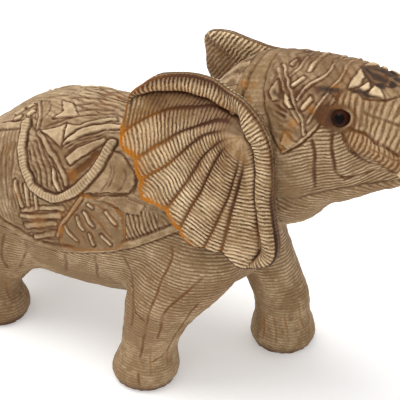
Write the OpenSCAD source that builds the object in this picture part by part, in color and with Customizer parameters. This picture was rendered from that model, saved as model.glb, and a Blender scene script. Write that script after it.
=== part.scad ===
// Carved wooden elephant, walking with its trunk raised. Two glued blocks carry the
// figure: the body with its four legs, and the head with its trunk. Ears, tusks, eyes and
// tail are carved apart and let in. Millimetres, X forward, Y to its left, Z up.

/* [Whole figure] */
// hind foot to the front of the raised trunk
figure_length = 375.5; // [320:0.5:450]
// across the carved body and feet
figure_width = 117; // [100:1:145]
// soles to the tip of the trunk
figure_height = 235.6; // [195:0.2:285]

/* [Ears] */
// wall of the ear shell near its edge
ear_thickness = 4.5; // [3.5:0.1:6.5]
// width of the rolled rim
ear_rim_width = 11; // [8:0.5:14]
// how far the rolled rim stands up
ear_rim_height = 3.6; // [2:0.1:5]
// depth of the hollow between root and rim
ear_bowl = 7; // [4:0.5:10]
// round boss let into the head
ear_boss_d = 20; // [15:0.5:24]
// how far from the middle plane the boss bottoms out
ear_boss_seat = 22; // [18:0.5:26]
// ear dowel diameter
ear_dowel_d = 4; // [3:0.5:5]
// ear dowel length
ear_dowel_l = 18; // [14:0.5:20]
// distance between the two ear dowels
ear_dowel_pitch = 9; // [7:0.5:11]

/* [Neck joint] */
// neck dowel diameter
neck_dowel_d = 12; // [8:0.5:14]
// neck dowel length
neck_dowel_l = 44; // [30:1:52]
// distance between the two neck dowels
neck_dowel_pitch = 34; // [26:1:40]

/* [Eyes and tusks] */
// eye bead diameter
eye_d = 9.4; // [7:0.2:11]
// peg behind the eye bead
eye_peg_d = 5; // [3:0.2:6]
// length of that peg
eye_peg_l = 7; // [4:0.5:9]
// tusk diameter where it leaves the sheath
tusk_d = 9; // [7:0.2:10]
// peg on the back of the tusk
tusk_peg_d = 6; // [4:0.2:7]
// length of that peg
tusk_peg_l = 10; // [6:0.5:12]

/* [Tail] */
// tail diameter at its root
tail_d = 9; // [7:0.2:11]
// tenon that enters the rump
tail_peg_d = 6; // [4:0.2:7]
// length of that tenon
tail_peg_l = 11; // [7:0.5:14]

/* [Fits] */
// glue line left between two pieces
glue_gap = 0.15; // [0.1:0.05:0.3]
// extra depth at the bottom of every blind hole
blind_relief = 0.6; // [0.3:0.1:1.5]

/* [Show] */
// which piece to draw

/* [Hidden] */
// The tables below are drawn at this size and scaled to the sizes asked for.
drawn = [375.5, 117, 235.6];
kx = figure_length / drawn[0];
ky = figure_width / drawn[1];
kz = figure_height / drawn[2];
frame_shift = 46.25 * kx;

// A section is [x, y, z, pitch, half width, up, down]. Pitch 0 faces forward and -90 down.
barrel = [
  [-121, 0, 92, 0, 4, 5, 5],
  [-118.5, 0, 92, 0, 19, 17, 19],
  [-109, 0, 91, 0, 33, 27, 34],
  [-95, 0, 92, 0, 41, 35, 49],
  [-71, 0, 96, 0, 47, 50, 63],
  [-46, 0, 99, 0, 49, 58, 67],
  [-22, 0, 101, 0, 49.5, 60, 68],
  [2, 0, 103, 0, 49, 57, 67],
  [26, 0, 105, 0, 47.5, 53, 63],
  [50, 0, 107, 0, 44, 49, 57],
  [72, 0, 106, 0, 39, 45, 44],
  [86, 0, 103, 0, 32, 34, 29],
  [94, 0, 101, 0, 20, 20, 17],
  [97, 0, 100, 0, 5, 5, 5]
];
neck_and_trunk = [
  [36, 0, 106, 40, 34, 38, 38],
  [62, 0, 132, 40, 38, 38, 42],
  [84, 0, 153, 34, 37, 45, 44],
  [104, 0, 167, 22, 35, 51, 48],
  [125, 0, 178, 12, 33, 43, 42],
  [146, 0, 186, 3, 29, 35, 38],
  [164, 0, 189, -5, 24, 27, 22],
  [181, 0, 187, -9, 20, 21, 18],
  [198, 0, 184, -4, 17, 17, 16],
  [212, 0, 186, 24, 14.5, 14, 14],
  [221, 0, 196, 60, 12.5, 12, 12],
  [223, 0, 210, 92, 11, 10.5, 10.5],
  [218, 0, 222, 122, 9.5, 9, 9],
  [210, 0, 229, 142, 8, 7.5, 7.5],
  [207, 0, 231, 145, 6, 5.5, 5.5]
];
jaw = [
  [116, 0, 150, 34, 24, 18, 17],
  [136, 0, 157, 28, 21, 14, 17],
  [155, 0, 163, 20, 16, 9, 12],
  [170, 0, 166, 12, 11, 6, 8],
  [181, 0, 168, 6, 7, 4, 5],
  [185, 0, 168.5, 4, 3, 2, 2]
];
sheath = [
  [142, -18, 198, -18, 5, 5, 5],
  [152, -22, 194.5, -22, 6.5, 6.5, 6.5],
  [164, -23, 189.5, -26, 7, 7, 7],
  [175, -23.2, 184.5, -28, 6.8, 6.8, 6.8],
  [181, -23.4, 181.5, -28, 6.4, 6.4, 6.4]
];
front_right_leg = [
  [31, -37, -3, 90, 17.8, 17.8, 17.8],
  [31, -37, 0.5, 90, 18.8, 18.8, 18.8],
  [31, -37, 5, 90, 21.5, 21.5, 21.5],
  [32, -37, 12, 90, 20.3, 20.3, 20.3],
  [34, -37, 23, 90, 17.2, 17.2, 17.2],
  [37, -37, 35, 90, 17.8, 19, 18],
  [43.5, -36, 50, 90, 20, 24, 19.5],
  [53, -34, 66, 90, 21.5, 33, 23],
  [60, -30, 86, 90, 20.5, 36, 30],
  [62, -25, 106, 90, 19, 30, 30],
  [61, -18, 124, 90, 16, 22, 22]
];
front_left_leg = [
  [87.5, 37, -3, 90, 17.8, 17.8, 17.8],
  [87.5, 37, 0.5, 90, 18.8, 18.8, 18.8],
  [87.5, 37, 5, 90, 21.5, 21.5, 21.5],
  [87.5, 37, 12, 90, 20.3, 20.3, 20.3],
  [87, 36, 23, 90, 17.2, 17.2, 17.2],
  [86, 36, 35, 90, 17.5, 18, 18],
  [80.5, 35, 50, 90, 19, 18, 17],
  [74, 33, 66, 90, 20, 20, 18],
  [67, 30, 86, 90, 20, 24, 20],
  [63, 25, 106, 90, 19, 26, 24],
  [63, 18, 124, 90, 16, 22, 22]
];
hind_right_leg = [
  [-86, -30, -3, 90, 17.8, 17.8, 17.8],
  [-86, -30, 0.5, 90, 18.8, 18.8, 18.8],
  [-86, -30, 5, 90, 21.5, 21.5, 21.5],
  [-86.5, -30, 12, 90, 20.3, 20.3, 20.3],
  [-89, -31, 23, 90, 17, 17, 19],
  [-92, -31, 35, 90, 17, 17.5, 30],
  [-93, -31, 50, 90, 19, 21, 42],
  [-90, -29, 66, 90, 20.5, 25, 46],
  [-85, -26, 84, 90, 21, 28, 44],
  [-79, -21, 102, 90, 19, 27, 35],
  [-73, -15, 118, 90, 15, 20, 22]
];
hind_left_leg = [
  [-120, 30, -3, 90, 17.8, 17.8, 17.8],
  [-120, 30, 0.5, 90, 18.8, 18.8, 18.8],
  [-120, 30, 5, 90, 21.5, 21.5, 21.5],
  [-120, 30, 12, 90, 20.3, 20.3, 20.3],
  [-119, 31, 23, 90, 17, 17, 17.5],
  [-116, 31, 35, 90, 17, 17.5, 22],
  [-109, 31, 50, 90, 19, 20, 32],
  [-101, 29, 66, 90, 20.5, 24, 38],
  [-93, 26, 84, 90, 21, 27, 34],
  [-84, 21, 102, 90, 19, 27, 31],
  [-76, 15, 118, 90, 15, 20, 22]
];
tail_run = [
  [-113, 0, 108, 180, 1, 1, 1],
  [-121, 0, 106.5, 196, 1, 1, 1],
  [-127, 0, 100, 236, 0.92, 0.92, 0.92],
  [-129, 0, 88, 262, 0.82, 0.82, 0.82],
  [-129, 0, 74, 271, 0.74, 0.74, 0.74],
  [-128.5, 0, 62, 272, 0.76, 0.76, 0.76],
  [-128, 0, 53, 273, 1.1, 1, 1],
  [-127.5, 0, 44, 274, 0.86, 0.8, 0.8],
  [-127, 0, 38, 274, 0.3, 0.3, 0.3]
];
tusk_run = [
  [177, -23.3, 183.6, -28, 1, 1, 1],
  [184, -23.8, 180, -24, 0.98, 0.98, 0.98],
  [196, -25.3, 175.5, -14, 0.9, 0.9, 0.9],
  [209, -27, 174, 4, 0.74, 0.74, 0.74],
  [220, -28.2, 176.5, 22, 0.52, 0.52, 0.52],
  [228, -28.6, 181, 36, 0.28, 0.28, 0.28],
  [231, -28.5, 183.5, 40, 0.08, 0.08, 0.08]
];
// Ear outline about its root: [angle from straight back, reach, distance from mid plane].
ear_edge = [
  [-12, 73, 50], [-3, 70, 46], [6, 69, 42], [11, 65, 37], [15, 61, 32], [23, 49, 27],
  [35, 34, 26], [53, 22, 31], [97, 15, 37], [141, 13, 39], [179, 16, 41], [212, 22, 42],
  [235, 34, 43], [243, 48, 44], [246, 61, 45], [249, 69, 46], [254, 74, 46], [261, 76, 47],
  [268, 78, 47.5], [276, 73, 48], [284, 75, 49], [290, 77, 49], [298, 75, 49], [306, 70, 50],
  [313, 72, 50], [319, 77, 50], [327, 71, 51], [337, 68, 51], [342, 72, 51]
];
ear_root = [97, 41.5, 186];

neck_seam = [88 * kx, 0, 150 * kz];
neck_lean = 23;
eye_at = [144.5 * kx, -25.8 * ky, 202.5 * kz];
eye_yaw = 8;
eye_rise = 24;
tusk_at = [177 * kx, -23.3 * ky, 183.6 * kz];
tusk_drop = 28;
tail_at = [-118 * kx, 0, 107 * kz];
tail_rise = 22;
boss_z = (ear_root[2] - 2) * kz;
ear_dowel_out = ear_boss_seat + ear_dowel_l * 0.5;
eye_sink = eye_d * 0.16;
tusk_air = 0.5;

// Smooth curve through rows of numbers, each span cut into n steps.
function spline(a, b, c, d, t) =
  0.5 * (2 * b + (c - a) * t + (2 * a - 5 * b + 4 * c - d) * t * t
  + (3 * b - a - 3 * c + d) * t * t * t);
function refine(rows, n) = let (m = len(rows) - 1) [
  for (i = [0:m - 1]) for (k = [0:n - 1])
    spline(rows[max(i - 1, 0)], rows[i], rows[i + 1], rows[min(i + 2, m)], k / n),
  rows[m]
];
function ring(s, grow, sides) = [
  for (k = [0:sides - 1]) let (
    a = 360 * k / sides,
    w = s[4] * ky + grow,
    h = (sin(a) > 0 ? s[5] : s[6]) * (kx + kz) / 2 + grow,
    p = s[3]
  ) [
    s[0] * kx - sin(p) * h * sin(a),
    s[1] * ky + w * cos(a),
    s[2] * kz + cos(p) * h * sin(a)
  ]
];
module skin(rings) {
  n = len(rings);
  m = len(rings[0]);
  polyhedron(
    points = [for (r = rings) each r],
    faces = concat(
      [[for (k = [0:m - 1]) k]],
      [for (i = [0:n - 2]) for (k = [0:m - 1])
        [i * m + k, (i + 1) * m + k, (i + 1) * m + (k + 1) % m]],
      [for (i = [0:n - 2]) for (k = [0:m - 1])
        [i * m + k, (i + 1) * m + (k + 1) % m, i * m + (k + 1) % m]],
      [[for (k = [m - 1:-1:0]) (n - 1) * m + k]]
    ),
    convexity = 6
  );
}
module loft(rows, grow = 0, steps = 2, sides = 32) {
  skin([for (s = refine(rows, steps)) ring(s, grow, sides)]);
}
// The same for thin round pieces whose rows hold fractions of one diameter.
module taper(rows, d, steps = 3, sides = 20) {
  skin([for (s = refine(rows, steps)) let (r = d / 2 / ky, q = d / (kx + kz))
    ring([s[0], s[1], s[2], s[3], s[4] * r, s[5] * q, s[6] * q], 0, sides)]);
}
module left() {
  mirror([0, 1, 0]) children();
}
// Keeps a carved form together as one surface.
module carved() {
  resize([0, 0, 0]) union() children();
}
// Everything cut from the two big blocks, before they are parted.
module carcass(grow = 0) {
  loft(barrel, grow, 3, 40);
  loft(neck_and_trunk, grow, 3, 36);
  loft(jaw, grow, 2, 24);
  loft(front_right_leg, grow, 2, 28);
  loft(front_left_leg, grow, 2, 28);
  loft(hind_right_leg, grow, 2, 28);
  loft(hind_left_leg, grow, 2, 28);
  loft(sheath, grow, 2, 20);
  left() loft(sheath, grow, 2, 20);
}
module at_seam() {
  translate(neck_seam) rotate([0, 90 - neck_lean, 0]) children();
}
module forward_of_seam(gap) {
  at_seam() translate([-200, -150, gap]) cube([400, 300, 300]);
}
module at_eye() {
  translate(eye_at) rotate([0, 0, eye_yaw]) rotate([90 - eye_rise, 0, 0]) children();
}
module at_tusk() {
  translate(tusk_at) rotate([0, 90 + tusk_drop, 0]) children();
}
module at_tail() {
  translate(tail_at) rotate([0, -90 + tail_rise, 0]) children();
}
module place() {
  translate([-frame_shift, 0, 0]) children();
}
module neck_dowel(s, grow = 0, ends = 0) {
  at_seam() translate([s * neck_dowel_pitch / 2, 0, -neck_dowel_l / 2 - ends])
    cylinder(d = neck_dowel_d + 2 * grow, h = neck_dowel_l + 2 * ends, $fn = 64);
}
module ear_dowel_bores(grow = 0, ends = 0) {
  for (s = [-1, 1])
    translate([ear_root[0] * kx, -ear_dowel_out - ends, boss_z + s * ear_dowel_pitch / 2])
      rotate([-90, 0, 0])
        cylinder(d = ear_dowel_d + 2 * grow, h = ear_dowel_l + 2 * ends, $fn = 48);
}
module ear_boss(d, seat) {
  translate([ear_root[0] * kx, -seat, boss_z]) rotate([90, 0, 0]) cylinder(d = d, h = 40, $fn = 48);
}

// The ear is a fan about its root. Rows of ear_rows run round it, ear_steps run outward.
ear_steps = [0.14, 0.32, 0.5, 0.66, 0.78, 0.87, 0.94, 1];
ear_wrapped = concat(
  [let (e = ear_edge[len(ear_edge) - 1]) [e[0] - 360, e[1], e[2]]],
  ear_edge,
  [for (k = [0:1]) let (e = ear_edge[k]) [e[0] + 360, e[1], e[2]]]
);
ear_rows = [
  for (i = [1:len(ear_edge)]) for (k = [0:1])
    spline(ear_wrapped[i - 1], ear_wrapped[i], ear_wrapped[i + 1],
           ear_wrapped[min(i + 2, len(ear_wrapped) - 1)], k / 2)
];
function ease(a, b, v) = let (t = max(0, min(1, (v - a) / (b - a)))) t * t * (3 - 2 * t);
function ear_hollow(e) = ear_bowl * (0.25 + 0.75 * (1 - ease(40, 80, e[0]) + ease(285, 335, e[0])));
function ear_roll(e, s) = let (
  gap = (1 - s) * e[1] * (kx + kz) / 2 - ear_rim_width / 2,
  t = gap / (ear_rim_width / 2)
) ear_rim_height * (abs(t) < 1 ? sqrt(1 - t * t) : 0)
  * ease(-4, 12, e[0]) * (1 - ease(252, 262, e[0]));
function ear_out(e, s) = ear_root[1] + (e[2] - ear_root[1]) * s - ear_hollow(e) * 4 * s * (1 - s);
function ear_point(e, s, out) = [
  ear_root[0] * kx - cos(e[0]) * e[1] * s * kx,
  -out * ky,
  ear_root[2] * kz + sin(e[0]) * e[1] * s * kz
];
function ear_wall(s) = ear_thickness * (1.15 - 0.35 * s * s);
// deep: false for the real wall, true to reach the middle plane so the boss can be trimmed.
module ear_skin(deep) {
  n = len(ear_rows);
  m = len(ear_steps);
  face = [for (s = ear_steps) for (e = ear_rows)
    ear_point(e, s, ear_out(e, s) + ear_roll(e, s) / ky)];
  back = [for (s = ear_steps) for (e = ear_rows)
    ear_point(e, s, deep ? 0 : ear_out(e, s) - ear_wall(s) / ky)];
  mid = [
    ear_point(ear_rows[0], 0, ear_root[1]),
    ear_point(ear_rows[0], 0, deep ? 0 : ear_root[1] - ear_wall(0) / ky)
  ];
  b = n * m;
  c = 2 * n * m;
  polyhedron(
    points = concat(face, back, mid),
    faces = concat(
      [for (k = [0:n - 1]) [c, k, (k + 1) % n]],
      [for (k = [0:n - 1]) [c + 1, b + (k + 1) % n, b + k]],
      [for (i = [0:m - 2]) for (k = [0:n - 1])
        [i * n + k, (i + 1) * n + k, (i + 1) * n + (k + 1) % n]],
      [for (i = [0:m - 2]) for (k = [0:n - 1])
        [i * n + k, (i + 1) * n + (k + 1) % n, i * n + (k + 1) % n]],
      [for (i = [0:m - 2]) for (k = [0:n - 1])
        [b + i * n + k, b + (i + 1) * n + (k + 1) % n, b + (i + 1) * n + k]],
      [for (i = [0:m - 2]) for (k = [0:n - 1])
        [b + i * n + k, b + i * n + (k + 1) % n, b + (i + 1) * n + (k + 1) % n]],
      [for (k = [0:n - 1]) [(m - 1) * n + k, b + (m - 1) * n + k, b + (m - 1) * n + (k + 1) % n]],
      [for (k = [0:n - 1]) [(m - 1) * n + k, b + (m - 1) * n + (k + 1) % n, (m - 1) * n + (k + 1) % n]]
    ),
    convexity = 8
  );
}

module torso() {
  color([0.80, 0.74, 0.64]) place() difference() {
    carved() difference() {
      carcass();
      forward_of_seam(-glue_gap / 2);
    }
    translate([-300, -200, -50]) cube([600, 400, 50]);
    neck_dowel(-1, glue_gap, blind_relief);
    neck_dowel(1, glue_gap, blind_relief);
    at_tail() translate([0, 0, -tail_peg_l - blind_relief])
      cylinder(d = tail_peg_d + 2 * glue_gap, h = tail_peg_l + 30, $fn = 48);
  }
}
module head() {
  color([0.82, 0.76, 0.66]) place() difference() {
    carved() difference() {
      intersection() {
        carcass();
        forward_of_seam(glue_gap / 2);
      }
      tusk_recess();
      left() tusk_recess();
    }
    neck_dowel(-1, glue_gap, blind_relief);
    neck_dowel(1, glue_gap, blind_relief);
    head_side_cuts();
    left() head_side_cuts();
  }
}
module tusk_recess() {
  at_tusk() translate([0, 0, -glue_gap]) cylinder(d = tusk_d + 2 * tusk_air, h = 30, $fn = 32);
}
module head_side_cuts() {
  ear_boss(ear_boss_d, ear_boss_seat);
  ear_dowel_bores(glue_gap, blind_relief);
  at_eye() {
    translate([0, 0, -eye_sink]) sphere(d = eye_d + 2 * glue_gap, $fn = 48);
    translate([0, 0, -eye_sink - eye_peg_l - blind_relief])
      cylinder(d = eye_peg_d + 2 * glue_gap, h = eye_peg_l, $fn = 48);
  }
  at_tusk() translate([0, 0, -tusk_peg_l - blind_relief])
    cylinder(d = tusk_peg_d + 2 * glue_gap, h = tusk_peg_l + 5, $fn = 48);
}
module ear_right() {
  color([0.84, 0.76, 0.62]) place() difference() {
    carved() union() {
      difference() {
        ear_skin(false);
        carcass(glue_gap);
      }
      intersection() {
        ear_boss(ear_boss_d - 2 * glue_gap, ear_boss_seat + glue_gap);
        ear_skin(true);
      }
    }
    ear_dowel_bores(glue_gap, blind_relief);
  }
}
module ear_left() {
  left() ear_right();
}
module tusk_right() {
  color([0.93, 0.88, 0.78]) place() {
    taper(tusk_run, tusk_d, 3, 20);
    at_tusk() translate([0, 0, -tusk_peg_l]) cylinder(d = tusk_peg_d, h = tusk_peg_l + 4, $fn = 48);
  }
}
module tusk_left() {
  left() tusk_right();
}
module eye_right() {
  color([0.20, 0.08, 0.04]) place() at_eye() {
    translate([0, 0, -eye_sink]) sphere(d = eye_d, $fn = 48);
    translate([0, 0, -eye_sink - eye_peg_l]) cylinder(d = eye_peg_d, h = eye_peg_l, $fn = 48);
  }
}
module eye_left() {
  left() eye_right();
}
module tail() {
  color([0.74, 0.66, 0.54]) place() {
    carved() difference() {
      taper(tail_run, tail_d, 3, 20);
      carcass(glue_gap);
    }
    at_tail() translate([0, 0, -tail_peg_l]) cylinder(d = tail_peg_d, h = tail_peg_l + 4, $fn = 48);
  }
}
module neck_dowel_upper() {
  color([0.72, 0.56, 0.36]) place() neck_dowel(-1);
}
module neck_dowel_lower() {
  color([0.72, 0.56, 0.36]) place() neck_dowel(1);
}
module ear_dowels_right() {
  color([0.72, 0.56, 0.36]) place() ear_dowel_bores();
}
module ear_dowels_left() {
  left() ear_dowels_right();
}

torso();
head();
ear_right();
ear_left();
tusk_right();
tusk_left();
eye_right();
eye_left();
tail();
neck_dowel_upper();
neck_dowel_lower();
ear_dowels_right();
ear_dowels_left();
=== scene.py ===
import bmesh
import bpy
import math
import numpy as np
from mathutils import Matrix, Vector
from mathutils.bvhtree import BVHTree


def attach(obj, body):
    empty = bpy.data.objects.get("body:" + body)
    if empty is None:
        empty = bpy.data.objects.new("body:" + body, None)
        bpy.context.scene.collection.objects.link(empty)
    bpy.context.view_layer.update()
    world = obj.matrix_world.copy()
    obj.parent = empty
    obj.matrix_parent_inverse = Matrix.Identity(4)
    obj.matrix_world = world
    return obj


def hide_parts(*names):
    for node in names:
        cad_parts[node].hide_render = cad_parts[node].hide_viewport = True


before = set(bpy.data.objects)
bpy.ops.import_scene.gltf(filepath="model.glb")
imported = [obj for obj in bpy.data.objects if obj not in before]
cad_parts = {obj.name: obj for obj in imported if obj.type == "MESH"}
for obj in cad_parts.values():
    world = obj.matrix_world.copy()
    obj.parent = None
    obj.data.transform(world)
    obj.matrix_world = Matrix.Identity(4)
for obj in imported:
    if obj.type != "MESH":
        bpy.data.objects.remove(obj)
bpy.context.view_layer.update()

# ---------------------------------------------------------------- camera, light and floor
# A long lens looks down on the right side from a little ahead of square, under one big soft
# light from above and a paler one from the front, on a plain white table.
look_at = Vector((-0.00625, 0.014, 0.100))
view_from = 0.80
swung, raised = math.radians(30), math.radians(32)
lens = bpy.data.cameras.new("camera")
lens.lens = 120
lens.sensor_width = 36
lens.clip_end = 90
camera = bpy.data.objects.new("camera", lens)
bpy.context.scene.collection.objects.link(camera)
away = Vector((math.sin(swung) * math.cos(raised), -math.cos(swung) * math.cos(raised), math.sin(raised)))
camera.location = look_at + away * view_from
camera.rotation_euler = (-away).to_track_quat("-Z", "Y").to_euler()
bpy.context.scene.camera = camera

def soft_sun(name, toward, strength, spread, tint):
    lamp = bpy.data.lights.new(name, "SUN")
    lamp.energy = strength
    lamp.angle = math.radians(spread)
    lamp.color = tint
    o = bpy.data.objects.new(name, lamp)
    o.rotation_euler = Vector(toward).to_track_quat("Z", "Y").to_euler()
    bpy.context.scene.collection.objects.link(o)

soft_sun("overhead", (-0.32, -0.12, 1.0), 1.9, 45, (1.0, 0.985, 0.96))
soft_sun("front", (0.1, -1.0, 0.5), 0.16, 60, (1.0, 0.99, 0.97))
world = bpy.data.worlds.new("room")
bpy.context.scene.world = world
world.use_nodes = True
world.node_tree.nodes["Background"].inputs[0].default_value = (1.0, 1.0, 1.0, 1.0)
world.node_tree.nodes["Background"].inputs[1].default_value = 0.80
bpy.context.scene.view_settings.view_transform = "Standard"

table_reach = 40
corners = [(a * table_reach, b * table_reach, 0) for a, b in ((-1, -1), (1, -1), (1, 1), (-1, 1))]
table = bpy.data.meshes.new("table")
table.from_pydata(corners, [], [(0, 1, 2, 3)])
table_top = bpy.data.objects.new("table", table)
bpy.context.scene.collection.objects.link(table_top)
white = bpy.data.materials.new("table_white")
white.use_nodes = True
paint = white.node_tree.nodes["Principled BSDF"]
paint.inputs["Base Color"].default_value = (0.86, 0.86, 0.86, 1)
paint.inputs["Roughness"].default_value = 0.9
paint.inputs["Emission Color"].default_value = (1, 1, 1, 1)
paint.inputs["Emission Strength"].default_value = 0.25
table.materials.append(white)

# ---------------------------------------------------------------- the two carved blocks
# Body with legs, and head with trunk: pale close-grained wood, glued at the neck, then cut
# together with gouges, limed, washed brown and rubbed back, so every cut runs over the joint.
mm = 0.001
middle = 46.25
neck_point = np.array([88 - middle, 0.0, 150.0])
neck_way = np.array([math.cos(math.radians(23)), 0.0, math.sin(math.radians(23))])

def arrays_of(node):
    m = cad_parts[node].data
    co = np.zeros(len(m.vertices) * 3, np.float32)
    m.vertices.foreach_get("co", co)
    return co.reshape(-1, 3) / mm, [tuple(p.vertices) for p in m.polygons]

def rod(a, b, r, sides):
    a, b = np.array(a, float), np.array(b, float)
    w = (b - a) / np.linalg.norm(b - a)
    u = np.cross(w, [0.3, 0.9, 0.2])
    u /= np.linalg.norm(u)
    v = np.cross(w, u)
    t = np.arange(sides) * 2 * np.pi / sides
    ring = np.outer(np.cos(t), u) + np.outer(np.sin(t), v)
    co = np.vstack([a + ring * r, b + ring * r])
    f = [(k, (k + 1) % sides, sides + (k + 1) % sides, sides + k) for k in range(sides)]
    return co, f + [tuple(range(sides))[::-1], tuple(range(sides, 2 * sides))]

def mesh_from(name, co, faces):
    m = bpy.data.meshes.new(name)
    m.from_pydata((np.asarray(co) * mm).tolist(), [], faces)
    m.update()
    o = bpy.data.objects.new(name, m)
    bpy.context.scene.collection.objects.link(o)
    return o

def applied(o, kind, settings):
    mod = o.modifiers.new(kind, kind)
    for k, v in settings.items():
        setattr(mod, k, v)
    bpy.context.view_layer.update()
    got = bpy.data.meshes.new_from_object(o.evaluated_get(bpy.context.evaluated_depsgraph_get()))
    o.modifiers.clear()
    old = o.data
    o.data = got
    bpy.data.meshes.remove(old)
    return o

# One skin is drawn over both blocks. The head is moved back over the glue line so that the skin
# closes, and the bores are filled so that the carving runs up to every boss, peg and tenon.
skin_step = 1.55
moved_back = {"torso": 0.0, "head": 0.3}
boss_x, boss_z = 50.75, 184
tusk_place = np.array([177 - middle, 23.3, 183.6])
tusk_way = np.array([0.883, 0, -0.469])
eye_place = np.array([144.5 - middle, 25.8, 202.5])
eye_look = np.array([0.127, 0.904, 0.407])
tail_x = -118 - middle
soup, faces = [], []

def poured(co, f):
    base = sum(len(c) for c in soup)
    soup.append(co)
    faces.extend([tuple(i + base for i in g) for g in f])

for node in ("torso", "head"):
    co, f = arrays_of(node)
    poured(co - moved_back[node] * neck_way, f)
for side in (-1, 1):
    flip = np.array([1, side, 1])
    poured(*rod((boss_x, side * 15, boss_z), (boss_x, side * 31.5, boss_z), 10.6, 32))
    poured(*rod((boss_x, side * 8, boss_z), (boss_x, side * 20, boss_z), 8, 24))
    spot = tusk_place * flip
    poured(*rod(spot - tusk_way * 11.5, spot - tusk_way * 0.4, 3.5, 16))
    spot, look = eye_place * flip, eye_look * flip
    poured(*rod(spot - look * 11, spot - look * 2.2, 5.2, 20))
poured(*rod((tail_x + 9, 0, 103.3), (tail_x - 0.5, 0, 107.1), 3.4, 16))
block = applied(mesh_from("block", np.vstack(soup), faces),
                "REMESH", {"mode": "VOXEL", "voxel_size": skin_step * mm, "adaptivity": 0.0})

def read(o):
    m = o.data
    co = np.zeros(len(m.vertices) * 3, np.float32)
    m.vertices.foreach_get("co", co)
    edges = np.zeros(len(m.edges) * 2, np.int32)
    m.edges.foreach_get("vertices", edges)
    return co.reshape(-1, 3).astype(float) / mm, edges.reshape(-1, 2)

def write(o, co):
    o.data.vertices.foreach_set("co", (co * mm).astype(np.float32).ravel())
    o.data.update()

def relaxed(co, edges, rounds, share):
    n = len(co)
    a, b = edges.T
    count = np.bincount(edges.ravel(), minlength=n)[:, None].clip(1)
    for _ in range(rounds):
        total = np.stack([np.bincount(a, co[b, k], n) + np.bincount(b, co[a, k], n) for k in range(3)], 1)
        co = co + (total / count - co) * share
    return co

def largest_only(o):
    co, edges = read(o)
    a, b = edges.T
    label = np.arange(len(co))
    while True:
        low = np.minimum(label[a], label[b])
        new = label.copy()
        np.minimum.at(new, a, low)
        np.minimum.at(new, b, low)
        new = new[new]
        if (new == label).all():
            break
        label = new
    names, counts = np.unique(label, return_counts=True)
    keep = label == names[counts.argmax()]
    if keep.all():
        return
    remap = np.cumsum(keep) - 1
    f = [tuple(remap[list(p.vertices)]) for p in o.data.polygons if keep[p.vertices[0]]]
    m = bpy.data.meshes.new(o.name)
    m.from_pydata((co[keep] * mm).tolist(), [], f)
    m.update()
    o.data = m

largest_only(block)
co, edges = read(block)
sole = co[:, 2] < 0.8
co = relaxed(co, edges, 26, 0.5)
co[:, 2] = np.where(sole, 0.0, co[:, 2]).clip(0, None)
write(block, co)
applied(block, "SUBSURF", {"levels": 1, "render_levels": 1, "subdivision_type": "CATMULL_CLARK"})

class Wire:
    """One socket of a material, so that its sums can be written out as sums."""
    def __init__(self, tree, socket=None):
        self.tree, self.socket = tree, socket

    def node(self, kind, settings, sockets, out=0):
        n = self.tree.nodes.new(kind)
        for key, value in settings.items():
            setattr(n, key, value)
        for key, value in sockets.items():
            if isinstance(value, Wire):
                self.tree.links.new(value.socket, n.inputs[key])
            else:
                n.inputs[key].default_value = value
        return Wire(self.tree, n.outputs[out])

    def sum(self, what, *values):
        return self.node("ShaderNodeMath", {"operation": what}, dict(enumerate(values)))

    def __add__(self, other):
        return self.sum("ADD", self, other)

    def __radd__(self, other):
        return self.sum("ADD", other, self)

    def __sub__(self, other):
        return self.sum("SUBTRACT", self, other)

    def __rsub__(self, other):
        return self.sum("SUBTRACT", other, self)

    def __mul__(self, other):
        return self.sum("MULTIPLY", self, other)

    def __rmul__(self, other):
        return self.sum("MULTIPLY", other, self)

    def sine(self):
        return self.sum("SINE", self)

    def held(self):
        return self.node("ShaderNodeClamp", {}, {0: self})

    def ramp(self, low, high):
        return self.node("ShaderNodeMapRange", {"interpolation_type": "SMOOTHSTEP"},
                         {"Value": self, "From Min": low, "From Max": high})

    def noise(self, place, scale, detail=2.0, rough=0.5):
        return self.node("ShaderNodeTexNoise", {}, {"Vector": place, "Scale": scale,
                                                    "Detail": detail, "Roughness": rough}, 0)

    def blend(self, share, a, b):
        return self.node("ShaderNodeMix", {"data_type": "RGBA"}, {0: share, 6: a, 7: b}, 2)

def rgb(r, g, b):
    return tuple(((c / 255 + 0.055) / 1.055) ** 2.4 for c in (r, g, b)) + (1.0,)

marks = ("hatch", "cut", "wash", "ochre", "dark", "pale")

def marked(o, values):
    for name in marks:
        layer = o.data.attributes.new(name, "FLOAT", "POINT")
        v = values.get(name, 0.0)
        layer.data.foreach_set("value", (np.zeros(len(o.data.vertices)) + v).astype(np.float32))

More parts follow.
